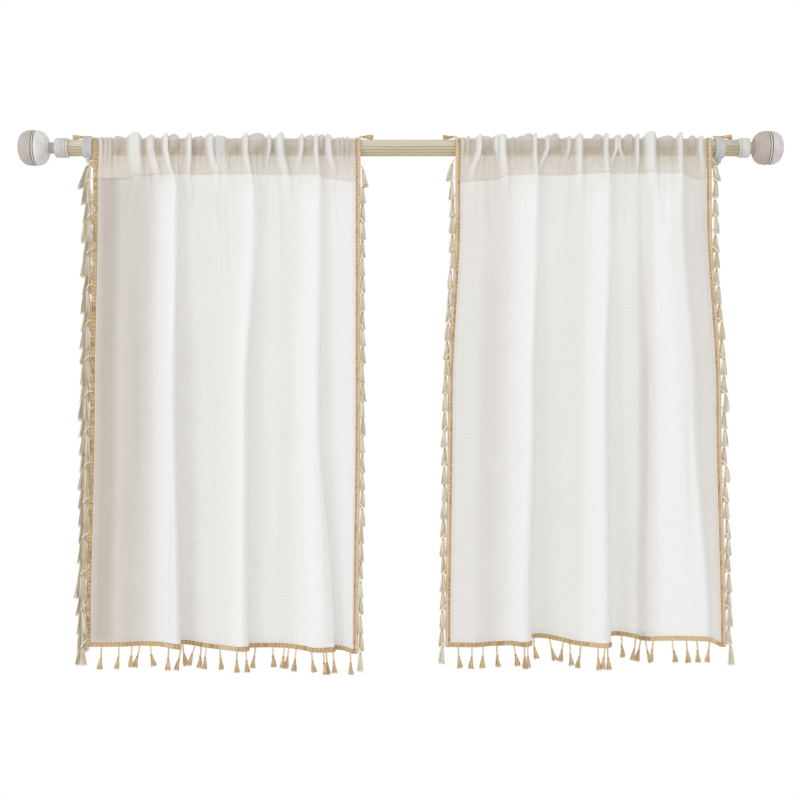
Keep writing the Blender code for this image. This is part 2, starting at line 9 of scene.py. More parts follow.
import bpy
import numpy as np
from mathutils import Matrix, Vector

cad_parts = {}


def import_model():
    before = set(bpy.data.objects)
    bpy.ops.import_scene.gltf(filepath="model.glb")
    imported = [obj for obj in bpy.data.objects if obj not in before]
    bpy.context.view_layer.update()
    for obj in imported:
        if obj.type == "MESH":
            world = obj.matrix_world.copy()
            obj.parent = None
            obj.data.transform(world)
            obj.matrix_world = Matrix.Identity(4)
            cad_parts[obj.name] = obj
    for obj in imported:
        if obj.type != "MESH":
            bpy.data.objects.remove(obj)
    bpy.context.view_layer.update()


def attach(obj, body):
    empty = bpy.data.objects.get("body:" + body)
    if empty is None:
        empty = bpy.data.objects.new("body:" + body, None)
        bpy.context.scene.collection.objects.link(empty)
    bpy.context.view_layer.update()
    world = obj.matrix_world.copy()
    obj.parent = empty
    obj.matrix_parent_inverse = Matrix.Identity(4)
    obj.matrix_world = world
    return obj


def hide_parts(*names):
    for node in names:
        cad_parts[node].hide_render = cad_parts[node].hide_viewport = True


MM = 0.001
SEED = 41
TURN = 2 * math.pi
DOWN = np.array((0.0, 0.0, -1.0))
DEEP = np.array((0.0, 1.0, 0.0))

# The rod and the wrap of the cloth round it
GAP = 0.3 * MM
ROD_RADIUS = 14.0 * MM
ROD_FROM_WALL = 75.0 * MM
ROD_LEFT = -563.5 * MM
ROD_RIGHT = 575.5 * MM
CASING_RADIUS = 16.1 * MM
CASING_TURN = 210.0
CASING_ANGLES = np.linspace(12.0, CASING_TURN, 17)
BACK_SHARES = np.linspace(0.1, 1.0, 10)
BACK_DROP = 34.0 * MM
BACK_LEAN = 7.0 * MM
HEAD_DROP = 105.0 * MM
MID_DROP = 430.0 * MM
HEM_DROP = 840.0 * MM
SEAM_DROP = 46.0 * MM
LIFT_START = 380.0 * MM
GATHER_LEAN = 0.32
CLOTH_COLUMNS = 400

# The pole's grooves: how many, and the turn and half width of each in degrees
POLE_FLUTES = 16
GROOVE_TURN = -1.4
GROOVE_SPREAD = 7.0
FLUTE_DEPTH = 1.4 * MM

# Finials, and the numbers of their finishes
BALL_RADIUS = 30.0 * MM
BALL_LENGTH = 51.0 * MM
BALL_FULLNESS = 2.8
NECK_RADIUS = 9.8 * MM
CAP_RADIUS = 16.5 * MM
FINIAL_SIDES = 64
CAP_WASH, INNER_WASH, TIP_WASH, BEAD_WASH, GROOVE_WASH, NECK_WASH = range(6)

# Braid and tassels; a float is one slanted yarn: its length, width and thickness
BRAID_WIDTH = 8.2 * MM
BRAID_PITCH = 3.3 * MM
BRAID_FLOAT = (4.6 * MM, 2.5 * MM, 1.8 * MM)
LOOP_PITCH = 5.6 * MM
STITCH_PITCH = 3.4 * MM
SIDE_PITCH = 30.0 * MM
FIRST_SIDE_MARK = 9.9 * MM
THREAD_ROOT = BRAID_WIDTH - 0.8 * MM
THREAD_STEP = 1.1 * MM
THREAD_TWIST = 4.4 * MM
SIDE_THREAD_DROP = 7.0 * MM
HEM_THREAD_DROP = 14.0 * MM
PAST_RING = 13.0 * MM
ON_ROD = 4.0 * MM
TASSEL_LENGTH = 22.0 * MM
TASSEL_STAGGER = 3.7 * MM
TASSEL_BINDING = 3.4 * MM
TASSEL_STRANDS = 44
# A tassel's radius at its neck, and how far it swells and spreads below
HEM_SHAPE = (1.3, 1.8, 2.1)
SIDE_SHAPE = (1.6, 2.6, 0.8)

# Numbers of the finishes in trim_materials; a yarn's number starts its run, light to dark
BRAID_LIGHT, BRAID_GOLD, BRAID_DARK, BRAID_GROUND, BRAID_CORD = range(5)
HEM_YARN, PALE_YARN, SHADED_YARN = 5, 9, 13

# How much painted shade, in a warm tone, darkens the cloth at distances in from its first and its
# last edge
PAINTED_SHADE_ENDS = {
    "cloth_left": (
        ((0, 0.6), (6, 0.75), (12, 0.9), (28, 0.88), (42, 0.55), (90, 0.45), (150, 0)),
        ((0, 0),),
    ),
    "cloth_right": (
        ((0, 0.1), (40, 0.08), (70, 0.16), (95, 0.16), (130, 0)),
        ((0, 0.3), (8, 0.3), (58, 0)),
    ),
}

# The photograph's frame
FRAME_WIDTH = 1.360
SENSOR_WIDTH = 36.0
CAMERA_DISTANCE = 2.20
CAMERA_HEIGHT = -0.429
CURTAIN_Y = -0.078

Fold = namedtuple("Fold", "x_head x_mid x_hem out_head out_mid out_hem white", defaults=(0.0,))
Gather = namedtuple("Gather", "x_rod x_below height half_width reach white", defaults=(1.0,))
Crease = namedtuple("Crease", "x_top drop_top x_low drop_low half_width height")
Yarns = namedtuple("Yarns", "finish length shape shaded", defaults=(0,))
Fringe = namedtuple("Fringe", "reach length width shaded pale")

# Where each fold runs across the rod and how far it stands out from the hang plane, below
# the pocket, at mid height and at the hem, and how much painted highlight its crest gets
LEFT_FOLDS = [Fold(*row) for row in (
    (-513, -518, -525, 4, 9, 15), (-469, -473, -479, 9, 19, 24), (-430, -434, -438, 2, 2, 10),
    (-407, -411, -409, 6, 8, 15, 0.7), (-384, -386, -381, 20, 31, 36, 1),
    (-378, -379, -373, 14, 23, 28, 0.8), (-376, -392, -395, 4, 8, 9, 0.2),
    (-364, -366, -368, -1, -3, -3, 0.25), (-328, -330, -326, 2, 5, 14),
    (-284, -295, -298, 6, 12, 21, 0.3), (-251, -267, -268, 16, 27, 32, 1),
    (-242, -257, -257, 10, 19, 24, 0.8), (-239, -266, -270, 3, 8, 11, 0.7),
    (-228, -228, -230, -2, -2, 3, 0.6), (-192, -190, -197, 1, 2, 6),
    (-165, -172, -168, 6, 10, 20, 0.7), (-141, -145, -139, 17, 24, 34, 1),
    (-132, -135, -111, 12, 18, 29, 0.8), (-129, -140, -128, 4, 8, 14, 0.8),
    (-122, -124, -103, 0, 2, 15, 0.8), (-76, -76, -80, 5, 10, 33, 0.6),
)]
RIGHT_FOLDS = [Fold(*row) for row in (
    (103, 90, 86, 4, 12, 27), (136, 127, 125, 9, 20, 34), (172, 166, 162, -1, 0, 16),
    (199, 195, 187, 5, 8, 17, 0.7), (230, 224, 215, 19, 28, 33, 1),
    (237, 231, 224, 13, 21, 25, 0.8), (239, 220, 208, 4, 7, 7, 0.8),
    (253, 246, 236, -2, -4, -9, 0.75), (282, 281, 272, 2, 1, 2), (306, 303, 298, 3, 5, 14),
    (327, 321, 317, 8, 13, 22, 0.8), (353, 348, 350, 18, 28, 33, 1),
    (361, 355, 359, 12, 20, 24, 0.8), (363, 344, 345, 3, 5, 4, 0.8),
    (380, 372, 368, -1, -6, -18, 0.75), (402, 404, 400, 2, 3, -8), (412, 416, 411, -3, -22, -28),
    (423, 425, 425, 3, -2, -6), (438, 445, 452, 13, 14, 12, 1), (458, 474, 494, 17, 28, 24, 1),
    (477, 497, 520, 15, 22, 29, 1), (491, 512, 532, 4, 8, 24), (521, 537, 545, 6, 13, 30),
)]
# How far side tassels hang out, their length and width, shaded side and the braid's paleness
FRINGES = {
    "left_outer": Fringe(8.6, 44, 2.1, 1, 0.05),
    "left_inner": Fringe(4.6, 32, 1, 0, 0.5),
    "right_inner": Fringe(6, 32, 1.1, 0, 0.5),
    "right_outer": Fringe(7.2, 32, 1.2, 0, 0.5),
}
# How far the hem is drawn up at each fold
LEFT_LIFTS = (5, 7, 6, 6, 5, 3, 4, 6, 3, 1, 0, 0, 1, 2, 2, 1, -1, -1, 1, 0, -3)
RIGHT_LIFTS = (7, 8, 7, 8, 8, 10, 13, 16, 12, 8, 7, 6, 7, 15, 18, 15, 8, 11, 15, 17, 17, 13, 8)
# How far the pocket's seam sags below its drop: place, then sag
LEFT_SAGS = ((-518, 9), (-462, 8), (-450, 2), (-378, 0), (-150, 0), (-128, 6), (-80, 12))
RIGHT_SAGS = ((90, 14), (164, 9), (180, 1), (290, 1), (315, -2), (476, -2), (508, 8), (537, 9))
# Ridges that run down from the rod with painted highlight, and low caps (highlight 0) that only lie
# over its top
LEFT_GATHERS = [Gather(*row) for row in (
    (-508, -508, 2.5, 4, 45, 0.3), (-500, -500, 2.5, 3.5, 45, 0.3), (-493, -493, 2.5, 3.5, 45, 0.3),
    (-479, -480, 3.5, 9, 14, 0), (-453, -448, 10.5, 14, 80), (-425, -410, 5.5, 9, 110, 0.8),
    (-400, -382, 8.5, 6.5, 140), (-385, -385, 6.5, 10, 14, 0), (-360, -360, 9, 6, 75),
    (-343, -343, 3, 11, 14, 0), (-324, -311, 8.5, 8, 100), (-308, -296, 4, 14, 130, 0.6),
    (-264, -252, 9.5, 6.5, 140), (-245, -245, 9, 18, 15, 0), (-223, -226, 6, 4.5, 45, 0.8),
    (-205, -191, 9.5, 9, 120), (-168, -174, 6, 5, 65), (-155, -155, 5, 10, 14, 0),
    (-144, -137, 8, 5.5, 130), (-134, -134, 6.5, 6, 14, 0), (-123, -113, 7, 7.5, 80),
    (-106, -106, 2, 3.5, 40, 0.3), (-98, -98, 2.2, 3.5, 40, 0.3), (-90, -90, 2, 3.5, 40, 0.3),
)]
RIGHT_GATHERS = [Gather(*row) for row in (
    (107, 105, 2, 3.5, 40, 0.3), (116, 112, 2.2, 3.5, 40, 0.3), (134, 122, 6.5, 6.5, 90),
    (147, 147, 3.5, 9, 14, 0), (163, 166, 6.5, 4.5, 30), (173, 180, 8, 9, 105),
    (204, 204, 3, 8, 14, 0), (217, 217, 8.5, 12, 15, 0), (228, 233, 8.5, 5.5, 140),
    (250, 236, 6.5, 5, 75, 0.9), (261, 261, 7.5, 11, 14, 0), (287, 283, 5, 4.5, 40, 0.8),
    (304, 306, 8.5, 8, 130), (335, 335, 7, 9, 14, 0), (349, 354, 9.5, 6, 140),
    (367, 358, 6.5, 4.5, 60, 0.9), (372, 381, 5.5, 4.5, 45, 0.9), (388, 388, 6.5, 10, 14, 0),
    (402, 403, 8.5, 5, 65), (424, 431, 11.5, 13, 150), (455, 455, 5, 12, 14, 0),
    (475, 478, 9.5, 6.5, 130), (496, 496, 5, 7, 14, 0), (511, 514, 5, 5.5, 75, 0.9),
)]
# Where the cloth is pressed in against the rod and painted shade darkens it: from, to, how dark
LEFT_SHADED_POCKETS = (
    (-488, -470, 1), (-435, -418, 0.35), (-416, -401, 0.8), (-390, -374, 0.9), (-356, -331, 0.9),
    (-291, -271, 0.9), (-252, -235, 0.75), (-220, -212, 1), (-191, -176, 0.7), (-170, -146, 0.5),
    (-137, -127, 1), (-110, -83, 0.4),
)
RIGHT_SHADED_POCKETS = (
    (104, 121, 0.4), (136, 160, 0.9), (195, 212, 0.6), (246, 274, 0.7), (312, 338, 0.8),
    (364, 373, 0.9), (379, 397, 0.55), (437, 467, 0.7), (487, 504, 0.85),
)
# Tassels along the hem: place, then lean to the right
LEFT_TASSELS = (
    (-507, -0.12), (-478, -0.15), (-456, -0.1), (-443, -0.22), (-425, 0.25), (-393, -0.05),
    (-373, -0.25), (-370, 0.22), (-349, -0.3), (-339, -0.1), (-330, -0.1), (-306, 0.05), (-277, 0),
    (-262, 0.05), (-245, -0.1), (-216, 0.02), (-196, -0.14), (-189, -0.14), (-177, -0.1),
    (-151, 0.2), (-130, 0.14), (-125, 0.1), (-114, 0.1), (-85, 0),
)
RIGHT_TASSELS = (
    (99, 0.1), (123, -0.05), (141, -0.05), (165, 0.1), (193, 0.2), (212, 0.1), (218, 0), (227, 0.2),
    (254, 0.3), (277, -0.15), (288, 0.1), (307, -0.15), (336, 0.02), (348, -0.1), (353, 0.1),
    (376, 0.05), (401, -0.2), (409, -0.2), (417, 0.28), (431, -0.1), (463, 0.15), (487, 0.1),
    (504, 0.05), (526, -0.1),
)
# Stretches of the hem's braids that are paler: painted light where the braid runs along lit fold
# crests
PAINTED_LIGHT_HEM = ((-395, -377), (-302, -270), (318, 348), (425, 527))
# Soft creases on top of the folds
LEFT_CREASES = [Crease(*row) for row in (
    (-452, 40, -470, 150, 6, -1.6), (-430, 30, -412, 190, 5, 2.2), (-362, 40, -345, 200, 7, 2.5),
    (-345, 44, -358, 150, 5, -2.5), (-325, 40, -300, 210, 7, 2.2), (-293, 60, -285, 300, 6, -2.2),
    (-221, 40, -236, 170, 5, -2.2), (-207, 44, -204, 260, 6, 2.4), (-171, 40, -186, 150, 5, 2),
    (-119, 44, -104, 180, 6, 2.2), (-340, 260, -352, 560, 9, -1.8), (-305, 380, -312, 800, 8, -2),
    (-455, 300, -452, 640, 10, 1.6), (-205, 430, -214, 800, 8, 2), (-100, 480, -96, 820, 8, -2),
)]
RIGHT_CREASES = [Crease(*row) for row in (
    (131, 40, 118, 180, 6, 2.2), (150, 44, 156, 170, 6, -2.4), (180, 50, 196, 220, 5, 2),
    (262, 44, 270, 220, 7, -2), (287, 40, 274, 180, 6, 2.2), (330, 50, 326, 300, 6, -2.2),
    (368, 40, 384, 190, 6, 2.4), (390, 44, 384, 160, 5, -2.4), (455, 44, 448, 180, 6, -2.2),
    (494, 44, 503, 190, 6, 2.2), (300, 420, 292, 800, 8, 2), (150, 330, 147, 700, 9, -1.8),
    (380, 300, 384, 640, 8, 1.8), (488, 420, 505, 800, 8, -2),
)]


def ease(t):
    """A soft step from 0 to 1."""
    t = np.clip(t, 0.0, 1.0)
    return t * t * (3.0 - 2.0 * t)


def even_slopes(spots, values):
    """Slopes for a cubic through the values that never overshoots them."""
    widths = np.diff(spots)
    rises = np.diff(values) / widths
    slopes = np.zeros(len(values))
    slopes[0] = rises[0]
    slopes[-1] = rises[-1]
    for i in range(1, len(values) - 1):
        if rises[i - 1] * rises[i] > 0.0:
            near = 2.0 * widths[i] + widths[i - 1]
            far = widths[i] + 2.0 * widths[i - 1]
            slopes[i] = (near + far) / (near / rises[i - 1] + far / rises[i])
    return slopes


def smooth_values(spots, values, wanted):
    """The smooth line through the values, read at the wanted spots."""
    slopes = even_slopes(spots, values)
    i = np.clip(np.searchsorted(spots, wanted) - 1, 0, len(spots) - 2)
    width = spots[i + 1] - spots[i]
    t = (wanted - spots[i]) / width
    start = values[i] * (1 + 2 * t) * (1 - t) ** 2 + slopes[i] * width * t * (1 - t) ** 2
    stop = values[i + 1] * (3 - 2 * t) * t * t + slopes[i + 1] * width * (t - 1) * t * t
    return start + stop


def between_levels(drop, head, mid, hem):
    """The folds' values at a drop below the rod, from their three levels."""
    if drop <= MID_DROP:
        return head + (mid - head) * ease((drop - HEAD_DROP) / (MID_DROP - HEAD_DROP))
    return mid + (hem - mid) * ease((drop - MID_DROP) / (HEM_DROP - MID_DROP))


def seen_share(y):
    """How much nearer the view's middle a point must lie at a depth, to show at its place."""
    return 1.0 + (y - CURTAIN_Y) / CAMERA_DISTANCE


class Panel:
    """The shape in which one gathered panel hangs."""

    def __init__(self, name, folds, lifts, sags, gathers, shaded_pockets, creases, seed):
        self.name = name
        columns = np.array(folds).T
        self.places, self.outs, self.painted_highlights = columns[:3], columns[3:6], columns[6]
        self.lifts = np.array(lifts) * MM
        self.sags = np.array(sags) * MM
        self.painted_shade_ends = PAINTED_SHADE_ENDS[name]
        self.gathers = gathers
        self.shaded_pockets = shaded_pockets
        self.creases = creases + fine_pleats(folds, seed)
        steps = list(map(math.hypot, np.diff(self.places[1]), np.diff(self.outs[1])))
        self.spots = np.concatenate(([0.0], np.cumsum(steps))) * MM
        self.width = float(self.spots[-1])

    def row(self, drop, spots):
        """The x and the fold's depth at the spots along the cloth."""
        x = smooth_values(self.spots, between_levels(drop, *self.places) * MM, spots)
        out = smooth_values(self.spots, between_levels(drop, *self.outs) * MM, spots)
        return x, out * ease(drop / HEAD_DROP)

    def bunch(self, x, drop):
        """How far the gathers lift the cloth off the rod, and how much painted highlight they get.
        """
        lift = np.zeros_like(x)
        white = np.zeros_like(x)
        for gather in self.gathers:
            reach = gather.reach * MM
            fade = ease((reach - drop) / reach)
            slide = ease(drop / (0.6 * reach))
            middle = (gather.x_rod + (gather.x_below - gather.x_rod) * slide) * MM
            away = np.clip(np.abs(x - middle) / (gather.half_width * MM), 0.0, 1.0)
            shape = fade * (1.0 - away**2.6) ** 1.3
            lift = np.maximum(lift, gather.height * MM * shape)
            white = np.maximum(white, gather.white * shape)
        return lift, white

    def tucked_shade(self, x, height):
        """Painted shade where the cloth is pressed in under the rod's front: how dark it is."""
        level = ease((11.0 * MM - height) / (15.0 * MM)) * ease((height + 17.0 * MM) / (3.0 * MM))
        dark = np.zeros_like(x)
        for start, stop, strength in self.shaded_pockets:
            away = np.abs(x / MM - (start + stop) / 2) / ((stop - start) / 2 + 1.5)
            dark = np.maximum(dark, strength * (1.0 - np.clip(away, 0.0, 1.0) ** 4))
        return dark * level

    def crumple(self, spots, x, drop):
        """The soft creases on top of the folds, away from the side edges."""
        total = np.zeros_like(x)
        for crease in self.creases:
            length = crease.drop_low - crease.drop_top
            t = (drop / MM - crease.drop_top) / length
            if not -0.001 < t < 1.001:
                continue
            strength = ease(t / 0.18) * ease((1.0 - t) / 0.55)
            middle = crease.x_top + (crease.x_low - crease.x_top) * t
            spread = crease.half_width * (1.0 + 0.5 * t)
            away = np.clip(np.abs(x / MM - middle) / spread, 0.0, 1.0)
            total += crease.height * MM * strength * (1.0 - away * away) ** 2
        return total * ease(np.minimum(spots, self.width - spots) / (14.0 * MM))

    def painted_shade(self, spots):
        """How much painted shade, in a warm tone, darkens the cloth along it."""
        first, last = self.painted_shade_ends
        near = np.interp(spots / MM, *zip(*first))
        return near + np.interp((self.width - spots) / MM, *zip(*last))

    def front(self, spots, drop):
        """One row of the cloth below the rod, as the photograph's camera sees it."""
        x, out = self.row(drop, spots)
        extra = self.crumple(spots, x, drop)
        lift, _ = self.bunch(x, drop)
        depth = CASING_RADIUS + lift + out + extra
        y = -ROD_FROM_WALL - depth
        drawn_up = smooth_values(self.spots, self.lifts, spots)
        z = drawn_up * ease((drop - LIFT_START) / (HEM_DROP - LIFT_START)) - drop
        return np.stack(((x + lift * GATHER_LEAN) * seen_share(y), y, z), axis=1)

    def front_tones(self, spots, drop):
        """Painted shade, thinness, painted shade in the tucks, painted highlight and pocket, along
        one row.
        """
        x, _ = self.row(drop, spots)
        _, white = self.bunch(x, drop)
        crests = smooth_values(self.spots, self.painted_highlights, spots)
        white = np.maximum(white, crests * ease(drop / HEAD_DROP))
        sewn = ease((SEAM_DROP + self.sag(x) - drop) / (2.0 * MM))
        painted_shade = self.painted_shade(spots) * (1.0 - 0.5 * sewn)
        thin = float(1.0 - ease((drop - 13.0 * MM) / (4.0 * MM))) * (1.0 - 0.8 * white)
        return np.stack((painted_shade, thin, self.tucked_shade(x, -drop), white, sewn), axis=1)

    def over_rod(self, spots, angle):
        """One row of the cloth on the rod, at an angle up and over it from its front."""
        x, _ = self.row(0.0, spots)
        extra = self.crumple(spots, x, 0.0)
        fullness = 1.0 - 0.6 * float(ease((angle - 90.0) / 120.0))
        lift = self.bunch(x, 0.0)[0] * fullness
        radius = CASING_RADIUS + lift + np.maximum(extra, 0.0) * fullness
        turn = math.radians(angle)
        y = -ROD_FROM_WALL - radius * math.cos(turn)
        x = (x + lift * GATHER_LEAN) * seen_share(y)
        return np.stack((x, y, radius * math.sin(turn)), axis=1)

    def rod_tones(self, spots, angle):
        """The same five tones along one row on the rod."""
        x, _ = self.row(0.0, spots)
        _, white = self.bunch(x, 0.0)
        dark = self.tucked_shade(x, CASING_RADIUS * math.sin(math.radians(angle)))
        if angle > 90.0:
            dark = dark * 0.0
        sewn = np.full_like(x, 0.5)
        return np.stack((0.5 * self.painted_shade(spots), 1.0 - 0.8 * white, dark, white, sewn), axis=1)

    def sag(self, x):
        """How far the pocket's seam sags."""
        return np.interp(x, self.sags[:, 0], self.sags[:, 1])

    def seam(self, spots, below=0.0, lean=0.0):
        """The line where the pocket is sewn down, or a little below or behind it."""
        sag = self.sag(self.row(SEAM_DROP, spots)[0])
        share = ((sag + below + 6.0 * MM) / (26.0 * MM))[:, None]
        high = self.front(spots, SEAM_DROP - 6.0 * MM)
        low = self.front(spots, SEAM_DROP + 20.0 * MM)
        points = high * (1.0 - share) + low * share
        points[:, 1] += lean
        return points

    def grid(self, spots, drops):
        """Points, marks and tones from the hem up, over the rod and down to the seam."""
        rows = [self.front(spots, drop) for drop in drops]
        marks = list(drops)
        tones = [self.front_tones(spots, drop) for drop in drops]
        for angle in CASING_ANGLES:
            rows.append(self.over_rod(spots, angle))
            marks.append(-CASING_RADIUS * math.radians(angle))
            tones.append(self.rod_tones(spots, angle))
        start, last = rows[-1], marks[-1]
        end = self.seam(spots, 3.0 * MM, 0.9 * MM)
        high = self.front(spots, BACK_DROP)
        high[:, 1] += BACK_LEAN
        flap = np.broadcast_to((0.0, 0.0, 0.0, 0.0, 1.0), (len(spots), 5))
        for share in BACK_SHARES:
            rows.append(start * (1 - share) ** 2 + high * 2 * share * (1 - share) + end * share**2)
            marks.append(last - share * SEAM_DROP)
            tones.append(flap)
        return np.array(rows), np.array(marks), np.array(tones)


def fine_pleats(folds, seed):
    """Small pleats under the heading, uneven in place and size."""
    rng = np.random.default_rng(seed)
    found = []
    x = folds[0].x_head + 12.0
    while x < folds[-1].x_head - 12.0:
        low = x + rng.uniform(-7.0, 7.0)
        reach = rng.uniform(28.0, 95.0)
        height = rng.uniform(0.8, 2.0) * rng.choice((-1.0, 1.0), p=(0.4, 0.6))
        start, width = rng.uniform(-30.0, 12.0), rng.uniform(2.4, 4.4)
        found.append(Crease(x, start, low, reach, width, height))
        x += rng.uniform(4.0, 9.0)
    return found


def front_drops():
    """Rows of the cloth, closer together near the heading."""
    below = np.linspace(HEM_DROP, 130.0 * MM, 168)
    near = np.linspace(127.0 * MM, 2.0 * MM, 50)
    return np.concatenate((below, near))


def new_object(name, data):
    made = bpy.data.objects.new(name, data)
    bpy.context.scene.collection.objects.link(made)
    return made


def cloth_object(panel, material):
    """The sheet, with its own lengths as texture coordinates."""
    spots = np.linspace(0.0, panel.width, CLOTH_COLUMNS)
    grid, marks, tones = panel.grid(spots, front_drops())
    index = np.arange(len(marks) * CLOTH_COLUMNS).reshape(len(marks), CLOTH_COLUMNS)
    quads = np.stack((index[:-1, :-1], index[:-1, 1:], index[1:, 1:], index[1:, :-1]), axis=-1)
    quads = quads.reshape(-1, 4)
    mesh = bpy.data.meshes.new(panel.name)
    mesh.from_pydata(grid.reshape(-1, 3).tolist(), [], quads.tolist())
    lengths = np.stack(np.broadcast_arrays(spots[None, :], marks[:, None]), axis=-1)
    edges = np.minimum(spots, panel.width - spots)[None, :]
    bands = np.stack(np.broadcast_arrays(edges, (HEM_DROP - marks)[:, None]), axis=-1)
    corners = quads.reshape(-1)
    layers = (
        ("cloth", lengths), ("bands", bands), ("shade", tones[:, :, :2]),
        ("heading", tones[:, :, 2:4]), ("pocket", tones[:, :, 3:]),
    )
    for layer, values in layers:
        uv = mesh.uv_layers.new(name=layer)
        uv.data.foreach_set("uv", values.reshape(-1, 2)[corners].astype(np.float32).ravel())
    mesh.shade_smooth()
    mesh.materials.append(material)
    return new_object(panel.name, mesh)


class Bits:
    """Many small parts of one mesh, each with its own material number."""

    def __init__(self):
        self.points = []
        self.faces = []
        self.finish = []
        self.count = 0

    def add(self, points, faces, finish):
        self.points.append(points)
        self.faces += [[k + self.count for k in face] for face in faces]
        self.finish += [finish] * len(faces)
        self.count += len(points)

    def build(self, name, materials):
        mesh = bpy.data.meshes.new(name)
        mesh.from_pydata(np.concatenate(self.points).tolist(), [], self.faces)
        for material in materials:
            mesh.materials.append(material)
        mesh.polygons.foreach_set("material_index", self.finish)
        mesh.shade_smooth()
        return new_object(name, mesh)


def tube_faces(rings, sides):
    """Faces of a capped tube whose points run ring by ring."""
    faces = []
    for i in range(rings - 1):
        for j in range(sides):
            k = (j + 1) % sides
            faces.append((i * sides + j, i * sides + k, (i + 1) * sides + k, (i + 1) * sides + j))
    faces.append(tuple(range(sides))[::-1])
    faces.append(tuple((rings - 1) * sides + j for j in range(sides)))
    return faces


def unit(vectors):
    return vectors / np.maximum(np.linalg.norm(vectors, axis=-1, keepdims=True), 1e-12)


def tube_points(path, radii, sides, side_hint):
    """Rings of points round a path."""
    along = unit(np.gradient(path, axis=0))
    first = unit(np.cross(along, side_hint))
    second = np.cross(along, first)
    turns = (TURN * np.arange(sides) / sides)[:, None]
    ring = first[:, None] * np.cos(turns) + second[:, None] * np.sin(turns)
    radii = np.broadcast_to(radii, len(path))[:, None, None]
    return (path[:, None] + ring * radii).reshape(-1, 3)


def add_tube(bits, path, radii, sides, side_hint, finish):
    bits.add(tube_points(path, radii, sides, side_hint), tube_faces(len(path), sides), finish)


def leaf_template():
    """A rounded yarn float, one unit long, wide and thick."""
    places = (-1.0, -0.72, 0.0, 0.72, 1.0)
    fat = (0.12, 0.74, 1.0, 0.74, 0.12)
    sides = 5
    turns = TURN * np.arange(sides) / sides
    points = [
        (0.5 * place, 0.5 * size * math.cos(turn), 0.5 * size * math.sin(turn))
        for place, size in zip(places, fat)
        for turn in turns
    ]
    return np.array(points), tube_faces(len(places), sides)


LEAF_POINTS, LEAF_FACES = leaf_template()


def add_leaf(bits, middle, along, across, normal, size, finish):
    """One yarn float: size is its length, width and thickness."""
    axes = np.stack((along * size[0], across * size[1], normal * size[2]))
    bits.add(middle + LEAF_POINTS @ axes, LEAF_FACES, finish)


class Strip:
    """A line in space with a width direction and a normal at every mark."""

    def __init__(self, path, across):
        self.path = path
        steps = np.linalg.norm(np.diff(self.path, axis=0), axis=1)
        self.lengths = np.concatenate(([0.0], np.cumsum(steps)))
        self.length = float(self.lengths[-1])
        self.across = np.asarray(across, dtype=float)
        start = np.cross(self.across, self.path[1] - self.path[0])
        self.facing = -1.0 if start[1] > 0.0 else 1.0

    def points(self, marks):
        marks = np.clip(marks, 0.0, self.length)
        found = [np.interp(marks, self.lengths, self.path[:, k]) for k in range(3)]
        return np.stack(found, axis=-1)

    def frames(self, marks):
        """Points, directions and normals; the normal faces the room."""
        reach = 1.5 * MM
        along = unit(self.points(marks + reach) - self.points(marks - reach))
        normals = np.cross(self.across, along) * self.facing
        return self.points(marks), along, unit(normals)


def add_braid(bits, strip, rng, pale=(), paleness=0.0):
    """Two rows of slanted floats that meet in a V, on a flat ground with corded edges."""
    across = strip.across
    marks = np.append(np.arange(0.0, strip.length, 3.0 * MM), strip.length)
    points, _, normals = strip.frames(marks)
    low = points + across * 0.4 * MM
    high = points + across * (BRAID_WIDTH - 0.5 * MM)
    room, wall = normals * 0.5 * MM, normals * -0.7 * MM
    rings = np.stack((low + room, high + room, high + wall, low + wall), axis=1)
    bits.add(rings.reshape(-1, 3), tube_faces(len(marks), 4), BRAID_GROUND)
    cords = ((0.55, 0.5, BRAID_CORD), (BRAID_WIDTH / MM - 0.6, 0.55, BRAID_GOLD))
    for offset, radius, finish in cords:
        path = points + across * offset * MM + normals * 0.45 * MM
        add_tube(bits, path, radius * MM, 5, across, finish)
    marks = np.arange(BRAID_PITCH, strip.length - 0.5 * BRAID_PITCH, BRAID_PITCH)
    for number, (point, along, normal) in enumerate(zip(*strip.frames(marks))):
        shade = BRAID_LIGHT if number % 2 else BRAID_GOLD
        if rng.random() < 0.12:
            shade = BRAID_DARK
        # Painted light: floats on the given stretches take the paler hem yarn.
        if any(start < point[0] / MM < stop for start, stop in pale):
            shade = HEM_YARN
        for place, lean, share in ((2.45, 1.0, 0.0), (5.7, -1.0, paleness * 2.0)):
            slant = unit(across + along * 0.95 * lean)
            side = unit(np.cross(normal, slant))
            middle = point + across * place * MM + normal * 0.75 * MM
            finish = PALE_YARN + 1 if rng.random() < share else shade
            add_leaf(bits, middle, slant, side, normal, BRAID_FLOAT, finish)


def add_loops(bits, strip, rng):
    """Small yarn loops along the braid's outer edge."""
    marks = np.arange(LOOP_PITCH, strip.length - LOOP_PITCH, LOOP_PITCH)
    turns = np.linspace(0.0, math.pi, 6)[:, None]
    for point, along, normal in zip(*strip.frames(marks)):
        bulge = rng.uniform(0.8, 1.5) * MM
        half = rng.uniform(1.5, 2.1) * MM
        base = point + strip.across * (BRAID_WIDTH - 0.2 * MM)
        arc = along * half * np.cos(turns) + strip.across * bulge * np.sin(turns)
        add_tube(bits, base + arc, 0.32 * MM, 4, normal, PALE_YARN)


def add_thread(bits, path, rng, finish):
    """A two-ply thread: two strands that twist round each other."""
    strip = Strip(path, (0.0, 1.0, 0.0))
    steps = max(8, int(strip.length / THREAD_STEP))
    marks = np.linspace(0.0, strip.length, steps)
    points = strip.points(marks)
    along = unit(np.gradient(points, axis=0))
    first = unit(np.cross(along, (0.0, 1.0, 0.05)))
    second = np.cross(along, first)
    start = rng.uniform(0.0, TURN)
    for half in (0.0, math.pi):
        turn = start + half + marks / THREAD_TWIST * TURN
        swing = first * np.cos(turn)[:, None] + second * np.sin(turn)[:, None]
        add_tube(bits, points + swing * 0.7 * MM, 0.9 * MM, 5, (0.02, 1.0, 0.0), finish)


